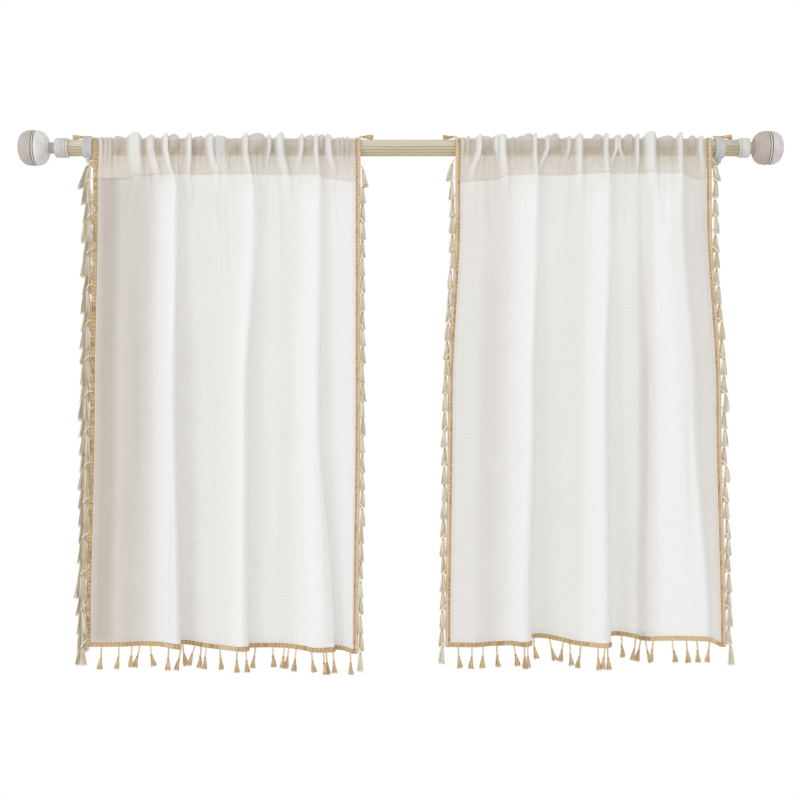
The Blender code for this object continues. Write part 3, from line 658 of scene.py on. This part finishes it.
def add_skirt(bits, neck, down, rng, yarns):
    """The yarns of a tassel, bound at the neck and flaring to the end."""
    side = unit(np.cross(down, (0.03, 1.0, 0.0)))
    deep = np.cross(down, side)
    shares = np.array((0.0, 0.18, 0.45, 0.75, 1.0))
    bow = rng.uniform(-0.8, 0.8) * MM
    strands = round(TASSEL_STRANDS * max(1.0, 0.48 * yarns.shape[0]))
    for number in range(strands):
        turn = TURN * (number + rng.uniform(-0.3, 0.3)) / strands
        inner = math.sqrt(rng.uniform(0.25, 1.0))
        flare = rng.uniform(0.85, 1.15) * inner
        start, swell, spread = yarns.shape
        radius = (start + swell * shares**0.6 + spread * shares**1.6) * MM * flare
        reach = (yarns.length - TASSEL_BINDING) * rng.uniform(0.88, 1.03)
        outwards = side * math.cos(turn) + deep * math.sin(turn) * min(0.75, 2.6 / start**1.2)
        path = neck + down * (shares * reach)[:, None] + outwards * radius[:, None]
        path = path + side * (bow * np.sin(shares * math.pi))[:, None]
        pick = rng.random()
        finish = yarns.finish + (0 if pick < 0.66 else 1 if pick < 0.9 else 2)
        if yarns.shaded * math.cos(turn) > 0.1 and pick < 0.9:
            finish = SHADED_YARN
        add_tube(bits, path, np.array((0.36, 0.46, 0.48, 0.46, 0.28)) * MM, 3, outwards, finish)


def add_head(bits, neck, down, base):
    """A knotted head with the binding wound round it."""
    side = unit(np.cross(down, (0.0, 1.0, 0.03)))
    deep = np.cross(down, side)
    shares = np.array((-0.4, 0.1, 0.9, 1.9, 2.9, 3.7)) * MM
    radii = np.array((0.7, 1.4, 1.8, 1.8, 1.6, 1.4)) * MM
    add_tube(bits, neck + down * shares[:, None], radii, 8, side, base + 1)
    turns = np.linspace(0.0, TURN, 9)[:, None]
    ring = (side * np.cos(turns) + deep * np.sin(turns)) * 1.7 * MM
    for drop in (2.7, 3.4):
        add_tube(bits, neck + down * drop * MM + ring, 0.36 * MM, 4, down, base + 3)


def add_tassel(bits, root, elbow, neck, down, rng, yarns):
    """A thread bent over its elbow, with the tassel at its end."""
    shares = np.linspace(0.0, 1.0, 9)[:, None]
    path = root * (1 - shares) ** 2 + 2 * elbow * shares * (1 - shares) + neck * shares**2
    add_thread(bits, path, rng, yarns.finish + int(rng.integers(2)))
    down = unit(down)
    add_head(bits, neck, down, yarns.finish)
    add_skirt(bits, neck + down * TASSEL_BINDING, down, rng, yarns)


def side_column(panel, spot):
    """Points along a side edge, from the hem over the rod."""
    spots = np.array([spot])
    rows = [panel.front(spots, drop)[0] for drop in front_drops()]
    rows += [panel.over_rod(spots, angle)[0] for angle in CASING_ANGLES if angle <= 160.0]
    return np.array(rows)


def side_trim(name, panel, outward, fringe, top_thread, seed, materials):
    """A side braid with its overlapping tassels, one of them lying on the rod."""
    rng = np.random.default_rng(seed)
    column = side_column(panel, panel.width if outward > 0 else 0.0)
    foot = column[0] - np.array((0.0, 0.0, BRAID_WIDTH))
    out = np.array((float(outward), 0.0, 0.0))
    strip = Strip(np.concatenate(([foot], column)) + out * GAP, out)
    bits = Bits()
    add_braid(bits, strip, rng, paleness=fringe.pale)
    add_loops(bits, strip, rng)
    shape = tuple(fringe.width * value for value in SIDE_SHAPE)
    hanging = len(front_drops())
    seam_mark = np.interp(-SEAM_DROP, column[:hanging, 2], strip.lengths[1:hanging + 1])
    stop = seam_mark + 0.9 * SIDE_PITCH
    for number, mark in enumerate(np.arange(FIRST_SIDE_MARK, stop, SIDE_PITCH)):
        swing = 0.2 if mark + SIDE_PITCH >= stop else 0.0
        edge = strip.points(mark) + out * THREAD_ROOT
        stagger = TASSEL_STAGGER * (1 if number % 2 else -1)
        reach = fringe.reach * MM * rng.uniform(0.9, 1.1)
        drop = SIDE_THREAD_DROP * rng.uniform(0.8, 1.15)
        elbow = edge + out * reach * 0.7 + DEEP * stagger * 0.3 + DOWN * MM
        neck = edge + out * reach + DEEP * stagger + DOWN * drop
        lean = DOWN + out * (rng.uniform(-0.05, 0.05) + swing) + DEEP * rng.uniform(-0.03, 0.03)
        length = min(fringe.length * MM, mark + 24.0 * MM) * rng.uniform(0.94, 1.04)
        yarns = Yarns(PALE_YARN, length, shape, outward * fringe.shaded)
        add_tassel(bits, edge, elbow, neck, lean, rng, yarns)
    top_x = column[-1][0] + outward * (BRAID_WIDTH - 0.5 * MM)
    top = np.array((top_x, -ROD_FROM_WALL, 18.9 * MM))
    neck = top + out * top_thread
    elbow = (top + neck) / 2 - DOWN * 0.8 * MM
    yarns = Yarns(HEM_YARN, TASSEL_LENGTH * 0.9, HEM_SHAPE)
    add_tassel(bits, top, elbow, neck, out + DOWN * 0.08, rng, yarns)
    return bits.build(name, materials)


def hem_mark(strip, x):
    """The mark on the hem's line that shows at a place, on its front fold."""
    marks = np.linspace(0.0, strip.length, 1600)
    points = strip.points(marks)
    shown = points[:, 0] / seen_share(points[:, 1])
    return float(marks[np.argmin(np.abs(shown - x) + 0.03 * points[:, 1])])


def hem_trim(name, panel, tassels, seed, materials):
    """The hem's braid with its tassels."""
    rng = np.random.default_rng(seed)
    spots = np.linspace(0.0, panel.width, 500)
    curve = panel.front(spots, HEM_DROP)
    curve[:, 2] -= GAP
    strip = Strip(curve, DOWN)
    bits = Bits()
    add_braid(bits, strip, rng, PAINTED_LIGHT_HEM)
    yarns = Yarns(HEM_YARN, TASSEL_LENGTH, HEM_SHAPE)
    for number, (x, tilt) in enumerate(tassels):
        edge = strip.points(hem_mark(strip, x * MM)) + DOWN * THREAD_ROOT
        drop = HEM_THREAD_DROP * rng.uniform(0.9, 1.2)
        side = np.array((0.7 * tilt * drop + rng.uniform(-1.0, 1.0) * MM, 0.0, 0.0))
        neck = edge + DOWN * drop + side + DEEP * (2.0 if number % 2 else -2.0) * MM
        elbow = (edge + neck) / 2 + np.array((rng.uniform(-1.4, 1.4) * MM, 0.0, 0.0))
        lean = DOWN + np.array((tilt + rng.uniform(-0.04, 0.04), 0.0, 0.0))
        add_tassel(bits, edge, elbow, neck, lean, rng, yarns)
    return bits.build(name, materials)


def stitching(name, panel, material):
    """The pocket's seam and the machine stitches beside both side braids."""
    bits = Bits()
    spots = np.linspace(0.0, panel.width, 700)
    line = Strip(panel.seam(spots), (0.0, 0.0, 1.0))
    add_stitches(bits, line, 2.5 * MM)
    for spot in (2.7 * MM, panel.width - 2.7 * MM):
        rows = np.array([panel.front(np.array([spot]), drop)[0] for drop in front_drops()])
        add_stitches(bits, Strip(rows, (1.0, 0.0, 0.0)), 2.2 * MM)
    return bits.build(name, [material])


def add_stitches(bits, line, length):
    """Even machine stitches along a line, proud of the cloth."""
    marks = np.arange(STITCH_PITCH, line.length - STITCH_PITCH, STITCH_PITCH)
    for point, along, _ in zip(*line.frames(marks)):
        side = unit(np.cross(-DEEP, along))
        normal = unit(np.cross(along, side))
        if normal[1] > 0.0:
            normal = -normal
        middle = point + normal * 0.45 * MM
        add_leaf(bits, middle, along, side, normal, (length, 0.8 * MM, 0.6 * MM), 0)


def fluted_pole(name, materials):
    """The pole, with even grooves that leave narrow fillets between them."""
    around = POLE_FLUTES * 18
    turns = TURN * np.arange(around) / around
    step = 360.0 / POLE_FLUTES
    places = (np.degrees(turns) - GROOVE_TURN + step / 2) % step - step / 2
    away = np.clip(np.abs(places) / GROOVE_SPREAD, 0.0, 1.0)
    radii = ROD_RADIUS - FLUTE_DEPTH * (1.0 - away * away)
    # Painted shade: only the grooves on the lower half take the dark finish.
    worn = (away + np.roll(away, -1) < 0.9) & (np.sin(turns) < 0.05)
    rings = []
    for x in np.linspace(ROD_LEFT, ROD_RIGHT, 24):
        y = -ROD_FROM_WALL - radii * np.cos(turns)
        rings.append(np.stack((np.full(around, x), y, radii * np.sin(turns)), axis=1))
    bits = Bits()
    points = np.concatenate(rings)
    faces = [face[::-1] for face in tube_faces(len(rings), around)]
    sides = len(faces) - 2
    dark = [k < sides and bool(worn[k % around]) for k in range(len(faces))]
    for finish in (0, 1):
        bits.add(points, [face for face, low in zip(faces, dark) if low == finish], finish)
    return bits.build(name, materials)


def ball_radius_at(height):
    """Radius of the barrel-shaped ball, at a height from its inner end."""
    share = abs(2.0 * height / BALL_LENGTH - 1.0)
    return BALL_RADIUS * max(0.0, 1.0 - share**BALL_FULLNESS) ** (1 / BALL_FULLNESS)


def ball_finish(height, groove_height):
    """The finish of the ball beside, in and on the bead of its ring groove."""
    away = abs(height - groove_height) / MM
    if away < 0.9:
        return BEAD_WASH
    if away < 2.3:
        return GROOVE_WASH
    return INNER_WASH if height < groove_height else TIP_WASH


def finial_profile(cap_length, neck_length, groove, girth):
    """Radius, height and finish from the cap's open end to the tip."""
    base = cap_length + neck_length
    inner = BALL_LENGTH - groove
    cap, neck = CAP_RADIUS, NECK_RADIUS
    profile = [
        (0.0, 0.0, BEAD_WASH),
        (cap - 0.5 * MM, 0.0, BEAD_WASH),
        (cap, 0.5 * MM, BEAD_WASH),
        (cap, 1.7 * MM, GROOVE_WASH),
        (cap - 0.5 * MM, 2.1 * MM, GROOVE_WASH),
        (cap, 2.6 * MM, CAP_WASH),
        (cap, cap_length - 2.2 * MM, CAP_WASH),
        (cap - 0.5 * MM, cap_length - 0.9 * MM, CAP_WASH),
        (cap - 1.8 * MM, cap_length, CAP_WASH),
        (neck + 0.8 * MM, cap_length + 0.2 * MM, NECK_WASH),
        (neck, cap_length + 1.0 * MM, NECK_WASH),
        (neck - 0.3 * MM, cap_length + neck_length / 2, NECK_WASH),
        (neck, base - 0.4 * MM, NECK_WASH),
        (neck + 0.4 * MM, base, INNER_WASH),
    ]
    near = inner + np.array((-2.8, -2.1, -1.1, -0.7, 0.0, 0.7, 1.1, 2.1, 2.8)) * MM
    for height in np.union1d(np.linspace(0.5 * MM, BALL_LENGTH, 40), near):
        away = abs(height - inner) / MM
        cut = np.interp(away, (0.7, 1.1, 2.1, 2.8), (0.3, 1.6, 1.6, 0.0)) * MM
        radius = ball_radius_at(height) * girth - cut
        if radius > neck:
            profile.append((radius, base + height, ball_finish(height, inner)))
    profile.append((0.35 * BALL_RADIUS, base + BALL_LENGTH - 0.12 * MM, TIP_WASH))
    profile.append((0.0, base + BALL_LENGTH, TIP_WASH))
    return profile


def turned_finial(name, end_x, outward, cap_length, neck_length, groove, girth, materials):
    """A turned ball, neck and cap, with a bead in the ball's ring groove."""
    profile = finial_profile(cap_length, neck_length, groove, girth)
    turns = TURN * np.arange(FINIAL_SIDES) / FINIAL_SIDES
    rings = []
    for radius, height, _ in profile:
        radius = max(radius, 0.05 * MM)
        x = np.full(FINIAL_SIDES, end_x + outward * (GAP + height))
        y = -ROD_FROM_WALL + radius * np.cos(turns)
        rings.append(np.stack((x, y, radius * np.sin(turns)), axis=1))
    bits = Bits()
    faces = tube_faces(len(rings), FINIAL_SIDES)
    if outward < 0:
        faces = [face[::-1] for face in faces]
    bits.add(np.concatenate(rings), faces, CAP_WASH)
    finishes = [finish for _, _, finish in profile[:-1] for _ in range(FINIAL_SIDES)]
    bits.finish = finishes + [BEAD_WASH, TIP_WASH]
    made = bits.build(name, materials)
    made.data.set_sharp_from_angle(angle=math.radians(52.0))
    return made


class Shader:
    """Short calls for a material's nodes."""

    def __init__(self, name):
        self.material = bpy.data.materials.new(name)
        self.material.use_nodes = True
        self.tree = self.material.node_tree
        self.bsdf = self.tree.nodes["Principled BSDF"]

    def fill(self, socket, value):
        """Links an output to a socket, or sets the socket's own value."""
        if isinstance(value, bpy.types.NodeSocket):
            self.tree.links.new(value, socket)
        else:
            socket.default_value = value

    def node(self, kind, inputs, **settings):
        made = self.tree.nodes.new(kind)
        for key, value in settings.items():
            setattr(made, key, value)
        for key, value in inputs.items():
            self.fill(made.inputs[key], value)
        return made

    def uv(self, layer):
        return self.node("ShaderNodeUVMap", {}, uv_map=layer).outputs["UV"]

    def solid(self):
        return self.node("ShaderNodeTexCoord", {}).outputs["Object"]

    def noise(self, coords, scale, detail=2.0, rough=0.5):
        """Noise with its own scale along each axis."""
        mapping = self.node("ShaderNodeMapping", {"Scale": scale, "Vector": coords})
        stretched = mapping.outputs["Vector"]
        inputs = {"Scale": 1.0, "Detail": detail, "Roughness": rough, "Vector": stretched}
        return self.node("ShaderNodeTexNoise", inputs).outputs["Fac"]

    def math(self, operation, *values):
        inputs = dict(enumerate(values))
        return self.node("ShaderNodeMath", inputs, operation=operation).outputs["Value"]

    def remap(self, value, low, high, to_low=0.0, to_high=1.0):
        inputs = dict(enumerate((value, low, high, to_low, to_high)))
        return self.node("ShaderNodeMapRange", inputs).outputs["Result"]

    def mix(self, share, first, second):
        """A mix of two colours, given as sockets or as red, green and blue."""
        if isinstance(first, tuple):
            first = (*first, 1.0)
        inputs = {0: share, 6: first, 7: (*second, 1.0)}
        return self.node("ShaderNodeMix", inputs, data_type="RGBA").outputs[2]

    def part(self, coords, axis):
        return self.node("ShaderNodeSeparateXYZ", {"Vector": coords}).outputs[axis]

    def finish(self, colour, roughness, height, strength, distance):
        """Sets the colour, roughness and bump, and gives the material."""
        inputs = {"Strength": strength, "Distance": distance, "Height": height}
        bump = self.node("ShaderNodeBump", inputs)
        self.fill(self.bsdf.inputs["Base Color"], colour)
        self.fill(self.bsdf.inputs["Roughness"], roughness)
        self.fill(self.bsdf.inputs["Normal"], bump.outputs["Normal"])
        return self.material


def linen_material():
    """A loose slub weave that lets some light through, with painted shade and painted highlight in
    its colour.
    """
    s = Shader("slub_linen")
    cloth, bands, shade, heading = (s.uv(name) for name in ("cloth", "bands", "shade", "heading"))
    warp = s.noise(cloth, (1150.0, 16.0, 1.0))
    weft = s.noise(cloth, (16.0, 1150.0, 1.0))
    slub_v = s.noise(cloth, (420.0, 5.0, 1.0), 1.0)
    slub_h = s.noise(cloth, (6.0, 420.0, 1.0), 1.0)
    cloudy = s.remap(s.noise(cloth, (18.0, 9.0, 1.0), 3.0), 0.3, 0.7, -1.0, 1.0)
    threads = s.math("ADD", s.remap(warp, 0.3, 0.7, -0.5, 0.5), s.remap(weft, 0.3, 0.7, -0.5, 0.5))
    slubs = s.math("ADD", s.remap(slub_v, 0.56, 0.72), s.remap(slub_h, 0.56, 0.72))
    thick = s.math("MULTIPLY_ADD", slubs, 0.35, threads)
    side_band = s.remap(s.part(bands, "X"), 0.0056, 0.0050)
    hem_band = s.remap(s.part(bands, "Y"), 0.0080, 0.0072)
    band = s.math("MAXIMUM", side_band, hem_band)
    # The shade layer holds painted shade and thinness; the heading layer holds painted shade in the
    # tucks and painted highlight.
    painted_shade, thin = s.part(shade, "X"), s.part(shade, "Y")
    tucked_shade, white = s.part(heading, "X"), s.part(heading, "Y")
    pocket = s.part(s.uv("pocket"), "Y")
    opacity = s.math("MULTIPLY_ADD", thick, 0.07, 0.70)
    for layer, gain in (
        (cloudy, 0.03), (band, 0.10), (painted_shade, 0.22), (thin, -0.08), (tucked_shade, 0.15), (white, 0.20)
    ):
        opacity = s.math("MULTIPLY_ADD", layer, gain, opacity)
    s.fill(s.bsdf.inputs["Alpha"], s.math("MINIMUM", opacity, 0.97))
    colour = s.mix(s.remap(thick, -0.9, 1.1), (0.76, 0.725, 0.665), (0.86, 0.835, 0.79))
    # Painted shade: the thin cloth over the rod is darkened a little as well.
    painted_shade = s.math("MAXIMUM", painted_shade, s.math("MULTIPLY", thin, 0.15))
    # Into the colour go painted shade, the doubled bands' and the pocket's own tones, painted shade
    # in the tucks and painted highlight.
    for layer, most, tone in (
        (painted_shade, 1.0, (0.52, 0.45, 0.365)),
        (band, 0.25, (0.80, 0.77, 0.74)),
        (pocket, 0.7, (0.855, 0.76, 0.65)),
        (tucked_shade, 0.6, (0.46, 0.38, 0.28)),
        (white, 0.9, (0.97, 0.965, 0.955)),
    ):
        colour = s.mix(s.math("MULTIPLY", layer, most), colour, tone)
    s.bsdf.inputs["Sheen Weight"].default_value = 0.15
    return s.finish(colour, 0.85, thick, 0.35, 0.0003)


def yarn_material(name, dark, light, sheen=0.2):
    """Spun yarn: fine fibres in two near colours."""
    s = Shader(name)
    place = s.solid()
    fibre = s.noise(place, (900.0, 900.0, 260.0))
    broad = s.noise(place, (120.0, 120.0, 90.0))
    share = s.math("MULTIPLY_ADD", broad, 0.5, s.math("MULTIPLY", fibre, 0.5))
    colour = s.mix(s.remap(share, 0.35, 0.65), dark, light)
    s.bsdf.inputs["Sheen Weight"].default_value = sheen
    return s.finish(colour, s.remap(fibre, 0.2, 0.8, 0.63, 0.87), fibre, 0.4, 0.0003)


def paint_material(name, dark, light):
    """Cream paint, a little rubbed, with grain under it, and painted shade towards its underside.
    """
    s = Shader(name)
    place = s.solid()
    grain = s.noise(place, (9.0, 420.0, 420.0), 3.0)
    patches = s.noise(place, (22.0, 60.0, 60.0), 3.0)
    colour = s.mix(s.remap(grain, 0.35, 0.65), dark, light)
    # Painted shade: darker and browner towards the underside.
    low = s.remap(s.part(place, "Z"), 0.001, -0.004, 0.0, 0.6)
    colour = s.mix(low, colour, (0.60, 0.48, 0.30))
    colour = s.mix(s.remap(patches, 0.55, 0.75, 0.0, 0.2), colour, (0.46, 0.37, 0.24))
    return s.finish(colour, s.remap(grain, 0.3, 0.7, 0.38, 0.58), grain, 0.25, 0.0004)


def whitewash_material(name, tone, shadow):
    """Whitewash rubbed thin over wood, with turning marks round the ball."""
    s = Shader(name)
    place = s.solid()
    rings = s.noise(place, (700.0, 40.0, 40.0))
    streaks = s.noise(place, (90.0, 55.0, 55.0), 4.0, 0.6)
    wear = s.noise(place, (45.0, 60.0, 60.0), 4.0, 0.6)
    share = s.math("MULTIPLY_ADD", rings, 0.5, s.math("MULTIPLY", streaks, 0.5))
    dark, light = (tuple(value * part for value in tone) for part in (0.88, 1.08))
    colour = s.mix(s.remap(share, 0.38, 0.6), dark, light)
    colour = s.mix(s.remap(wear, 0.5, 0.7, 0.0, 0.2), colour, (0.46, 0.39, 0.33))
    low = s.remap(s.part(place, "Z"), -0.004, -0.028, 0.0, shadow)
    colour = s.mix(low, colour, (0.40, 0.31, 0.25))
    return s.finish(colour, s.remap(streaks, 0.3, 0.7, 0.4, 0.6), share, 0.25, 0.0004)


def metal_material():
    """Pale painted steel with light handling marks, and painted shade in the troughs between its
    ribs.
    """
    s = Shader("pale_metal")
    place = s.solid()
    speckle = s.noise(place, (900.0, 900.0, 900.0))
    smear = s.noise(place, (70.0, 70.0, 70.0), 3.0)
    ribs = s.math("SINE", s.math("MULTIPLY", s.part(place, "X"), 2900.0))
    colour = s.mix(s.remap(smear, 0.35, 0.7), (0.68, 0.68, 0.675), (0.58, 0.58, 0.575))
    # Painted shade: darker in the troughs between the ribs.
    colour = s.mix(s.remap(ribs, -1.0, 0.2, 0.28, 0.0), colour, (0.34, 0.35, 0.36))
    s.bsdf.inputs["Metallic"].default_value = 0.1
    height = s.math("MULTIPLY_ADD", speckle, 0.2, ribs)
    return s.finish(colour, s.remap(smear, 0.3, 0.7, 0.38, 0.55), height, 0.25, 0.0003)


def trim_materials():
    """Finishes in the order of the braid's and the tassels' numbers."""
    yarns = (
        ("braid_light", (0.74, 0.53, 0.28), (0.89, 0.70, 0.44)),
        ("braid_gold", (0.60, 0.40, 0.19), (0.76, 0.54, 0.29)),
        ("braid_dark", (0.48, 0.31, 0.14), (0.62, 0.43, 0.22)),
        ("braid_ground", (0.55, 0.38, 0.19), (0.68, 0.49, 0.27)),
        ("braid_cord", (0.46, 0.31, 0.15), (0.62, 0.44, 0.24)),
        ("yarn_cream", (0.85, 0.62, 0.34), (0.96, 0.79, 0.51)),
        ("yarn_tan", (0.77, 0.51, 0.24), (0.89, 0.65, 0.35)),
        ("yarn_brown", (0.56, 0.36, 0.16), (0.72, 0.50, 0.26)),
        ("yarn_dark", (0.42, 0.26, 0.11), (0.58, 0.38, 0.19)),
        ("pale_cream", (0.98, 0.89, 0.69), (1.0, 0.97, 0.85), 0.7),
        ("pale_tan", (0.94, 0.76, 0.49), (0.98, 0.86, 0.63), 0.6),
        ("pale_brown", (0.80, 0.56, 0.28), (0.91, 0.70, 0.41), 0.5),
        ("pale_dark", (0.42, 0.28, 0.14), (0.56, 0.40, 0.22)),
        ("shaded_yarn", (0.68, 0.58, 0.41), (0.80, 0.70, 0.53), 0.4),
    )
    return [yarn_material(*yarn) for yarn in yarns]


def make_camera():
    data = bpy.data.cameras.new("camera")
    data.lens = SENSOR_WIDTH * CAMERA_DISTANCE / FRAME_WIDTH
    data.sensor_width = SENSOR_WIDTH
    camera = new_object("camera", data)
    camera.location = (0.0, CURTAIN_Y - CAMERA_DISTANCE, CAMERA_HEIGHT)
    camera.rotation_euler = (math.radians(90.0), 0.0, 0.0)
    bpy.context.scene.camera = camera


def area_light(name, place, size, power, colour=(1.0, 1.0, 1.0)):
    """A disc of light that faces the panels."""
    data = bpy.data.lights.new(name, "AREA")
    data.shape = "DISK"
    data.size = size
    data.energy = power
    data.color = colour
    lamp = new_object(name, data)
    lamp.location = place
    direction = Vector((0.0, -0.1, -0.45)) - Vector(place)
    lamp.rotation_mode = "QUATERNION"
    lamp.rotation_quaternion = direction.to_track_quat("-Z", "Y")


def make_world():
    """A plain, colourless room: at full strength behind the part, softer as a light on it."""
    world = bpy.data.worlds.new("studio")
    bpy.context.scene.world = world
    world.use_nodes = True
    tree = world.node_tree
    background = tree.nodes["Background"]
    background.inputs["Color"].default_value = (1.0, 1.0, 1.0, 1.0)
    paths = tree.nodes.new("ShaderNodeLightPath")
    strength = tree.nodes.new("ShaderNodeMapRange")
    strength.inputs["To Min"].default_value = 0.78
    strength.inputs["To Max"].default_value = 1.0
    tree.links.new(paths.outputs["Is Camera Ray"], strength.inputs["Value"])
    tree.links.new(strength.outputs["Result"], background.inputs["Strength"])


def make_stage():
    """A pale floor well below the part, and two soft lamps."""
    finish = Shader("studio_floor")
    finish.bsdf.inputs["Base Color"].default_value = (0.86, 0.86, 0.86, 1.0)
    finish.bsdf.inputs["Roughness"].default_value = 0.9
    mesh = bpy.data.meshes.new("floor")
    half, front, back, level = 3.2, -4.2, 1.9, -1.75
    spots = [(-half, front, level), (half, front, level), (half, back, level), (-half, back, level)]
    mesh.from_pydata(spots, [], [(0, 1, 2, 3)])
    mesh.materials.append(finish.material)
    new_object("floor", mesh)
    area_light("key", (-3.1, -2.9, 0.1), 2.4, 26.0, (0.95, 1.0, 1.06))
    area_light("front", (0.6, -3.4, 0.0), 1.8, 6.0)


def dress(piece, slot, *nodes):
    """Puts a piece on the one body and hides the CAD nodes it stands for; the finish it is given is
    not used.
    """
    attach(piece, "root")
    if nodes:
        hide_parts(*nodes)


def dress_pole_and_brackets():
    paint = paint_material("cream_paint", (0.69, 0.64, 0.50), (0.80, 0.75, 0.61))
    # Painted shade for the pole's lower grooves.
    shaded = paint_material("groove_paint", (0.40, 0.33, 0.22), (0.52, 0.44, 0.31))
    dress(fluted_pole("fluted_pole", [paint, shaded]), "cream_rod", "rod")
    metal = metal_material()
    for name in ("bracket_left", "bracket_right"):
        node = bpy.data.objects[name]
        node.data.materials.clear()
        node.data.materials.append(metal)


def dress_finials():
    """The finials; their finishes are in the order of the wash numbers."""
    washes = {
        name: whitewash_material("wash_" + name, tone, shadow)
        for name, tone, shadow in (
            ("pale", (0.83, 0.82, 0.80), 0.15),
            ("worn", (0.58, 0.52, 0.46), 0.3),
            ("bead", (0.95, 0.92, 0.85), 0.0),
            ("groove", (0.27, 0.23, 0.19), 0.3),
            ("neck", (0.50, 0.48, 0.45), 0.3),
            ("cap", (0.68, 0.66, 0.63), 0.3),
            ("rose", (0.58, 0.495, 0.45), 0.3),
            ("chalk", (0.77, 0.73, 0.71), 0.12),
        )
    }
    # Each ball's half towards the left takes a darker wash: painted shade, with a pinker tone on
    # the right ball; the neck's wash is darker too.
    for side, end_x, outward, lengths, girth, names in (
        ("left", ROD_LEFT, -1, (22.0, 11.5, 28.5), 1.0, "cap pale worn bead groove neck"),
        ("right", ROD_RIGHT, 1, (18.0, 6.0, 25.0), 0.95, "chalk rose chalk bead groove neck"),
    ):
        cap, neck, groove = (length * MM for length in lengths)
        finishes = [washes[name] for name in names.split()]
        name = "turned_finial_" + side
        piece = turned_finial(name, end_x, outward, cap, neck, groove, girth, finishes)
        dress(piece, "whitewash", "finial_" + side)


def dress_panel(side, panel, tassels, linen, thread, finishes, seed):
    """The cloth, its stitches and its three trims, in place of the CAD solids."""
    cloth = cloth_object(panel, linen)
    dress(cloth, "linen", "panel_" + side)
    stitches = stitching("stitches_" + side, panel, thread)
    dress(stitches, "linen")
    for number, outward in enumerate((-1, 1)):
        outer = (outward < 0) == (side == "left")
        edge = f"{side}_outer" if outer else f"{side}_inner"
        past = PAST_RING if outer else ON_ROD
        piece = side_trim(
            "fringe_" + edge, panel, outward, FRINGES[edge], past, seed + number, finishes
        )
        dress(piece, "trim", "trim_" + edge)
    piece = hem_trim(f"fringe_{side}_hem", panel, tassels, seed + 5, finishes)
    dress(piece, "trim", f"trim_{side}_hem")


def corners(box):
    return [[float(value) for value in corner] for corner in box]


def main():
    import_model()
    make_camera()
    make_world()
    make_stage()
    bpy.context.scene.view_settings.view_transform = "Standard"
    bpy.context.scene.cycles.transparent_max_bounces = 32
    dress_pole_and_brackets()
    dress_finials()
    thread = yarn_material("seam_thread", (0.80, 0.79, 0.77), (0.90, 0.89, 0.87))
    finish = (linen_material(), thread, trim_materials())
    left = (LEFT_FOLDS, LEFT_LIFTS, LEFT_SAGS, LEFT_GATHERS, LEFT_SHADED_POCKETS, LEFT_CREASES)
    right = (RIGHT_FOLDS, RIGHT_LIFTS, RIGHT_SAGS, RIGHT_GATHERS, RIGHT_SHADED_POCKETS, RIGHT_CREASES)
    dress_panel("left", Panel("cloth_left", *left, SEED), LEFT_TASSELS, *finish, SEED + 10)
    dress_panel("right", Panel("cloth_right", *right, SEED + 1), RIGHT_TASSELS, *finish, SEED + 30)


main()
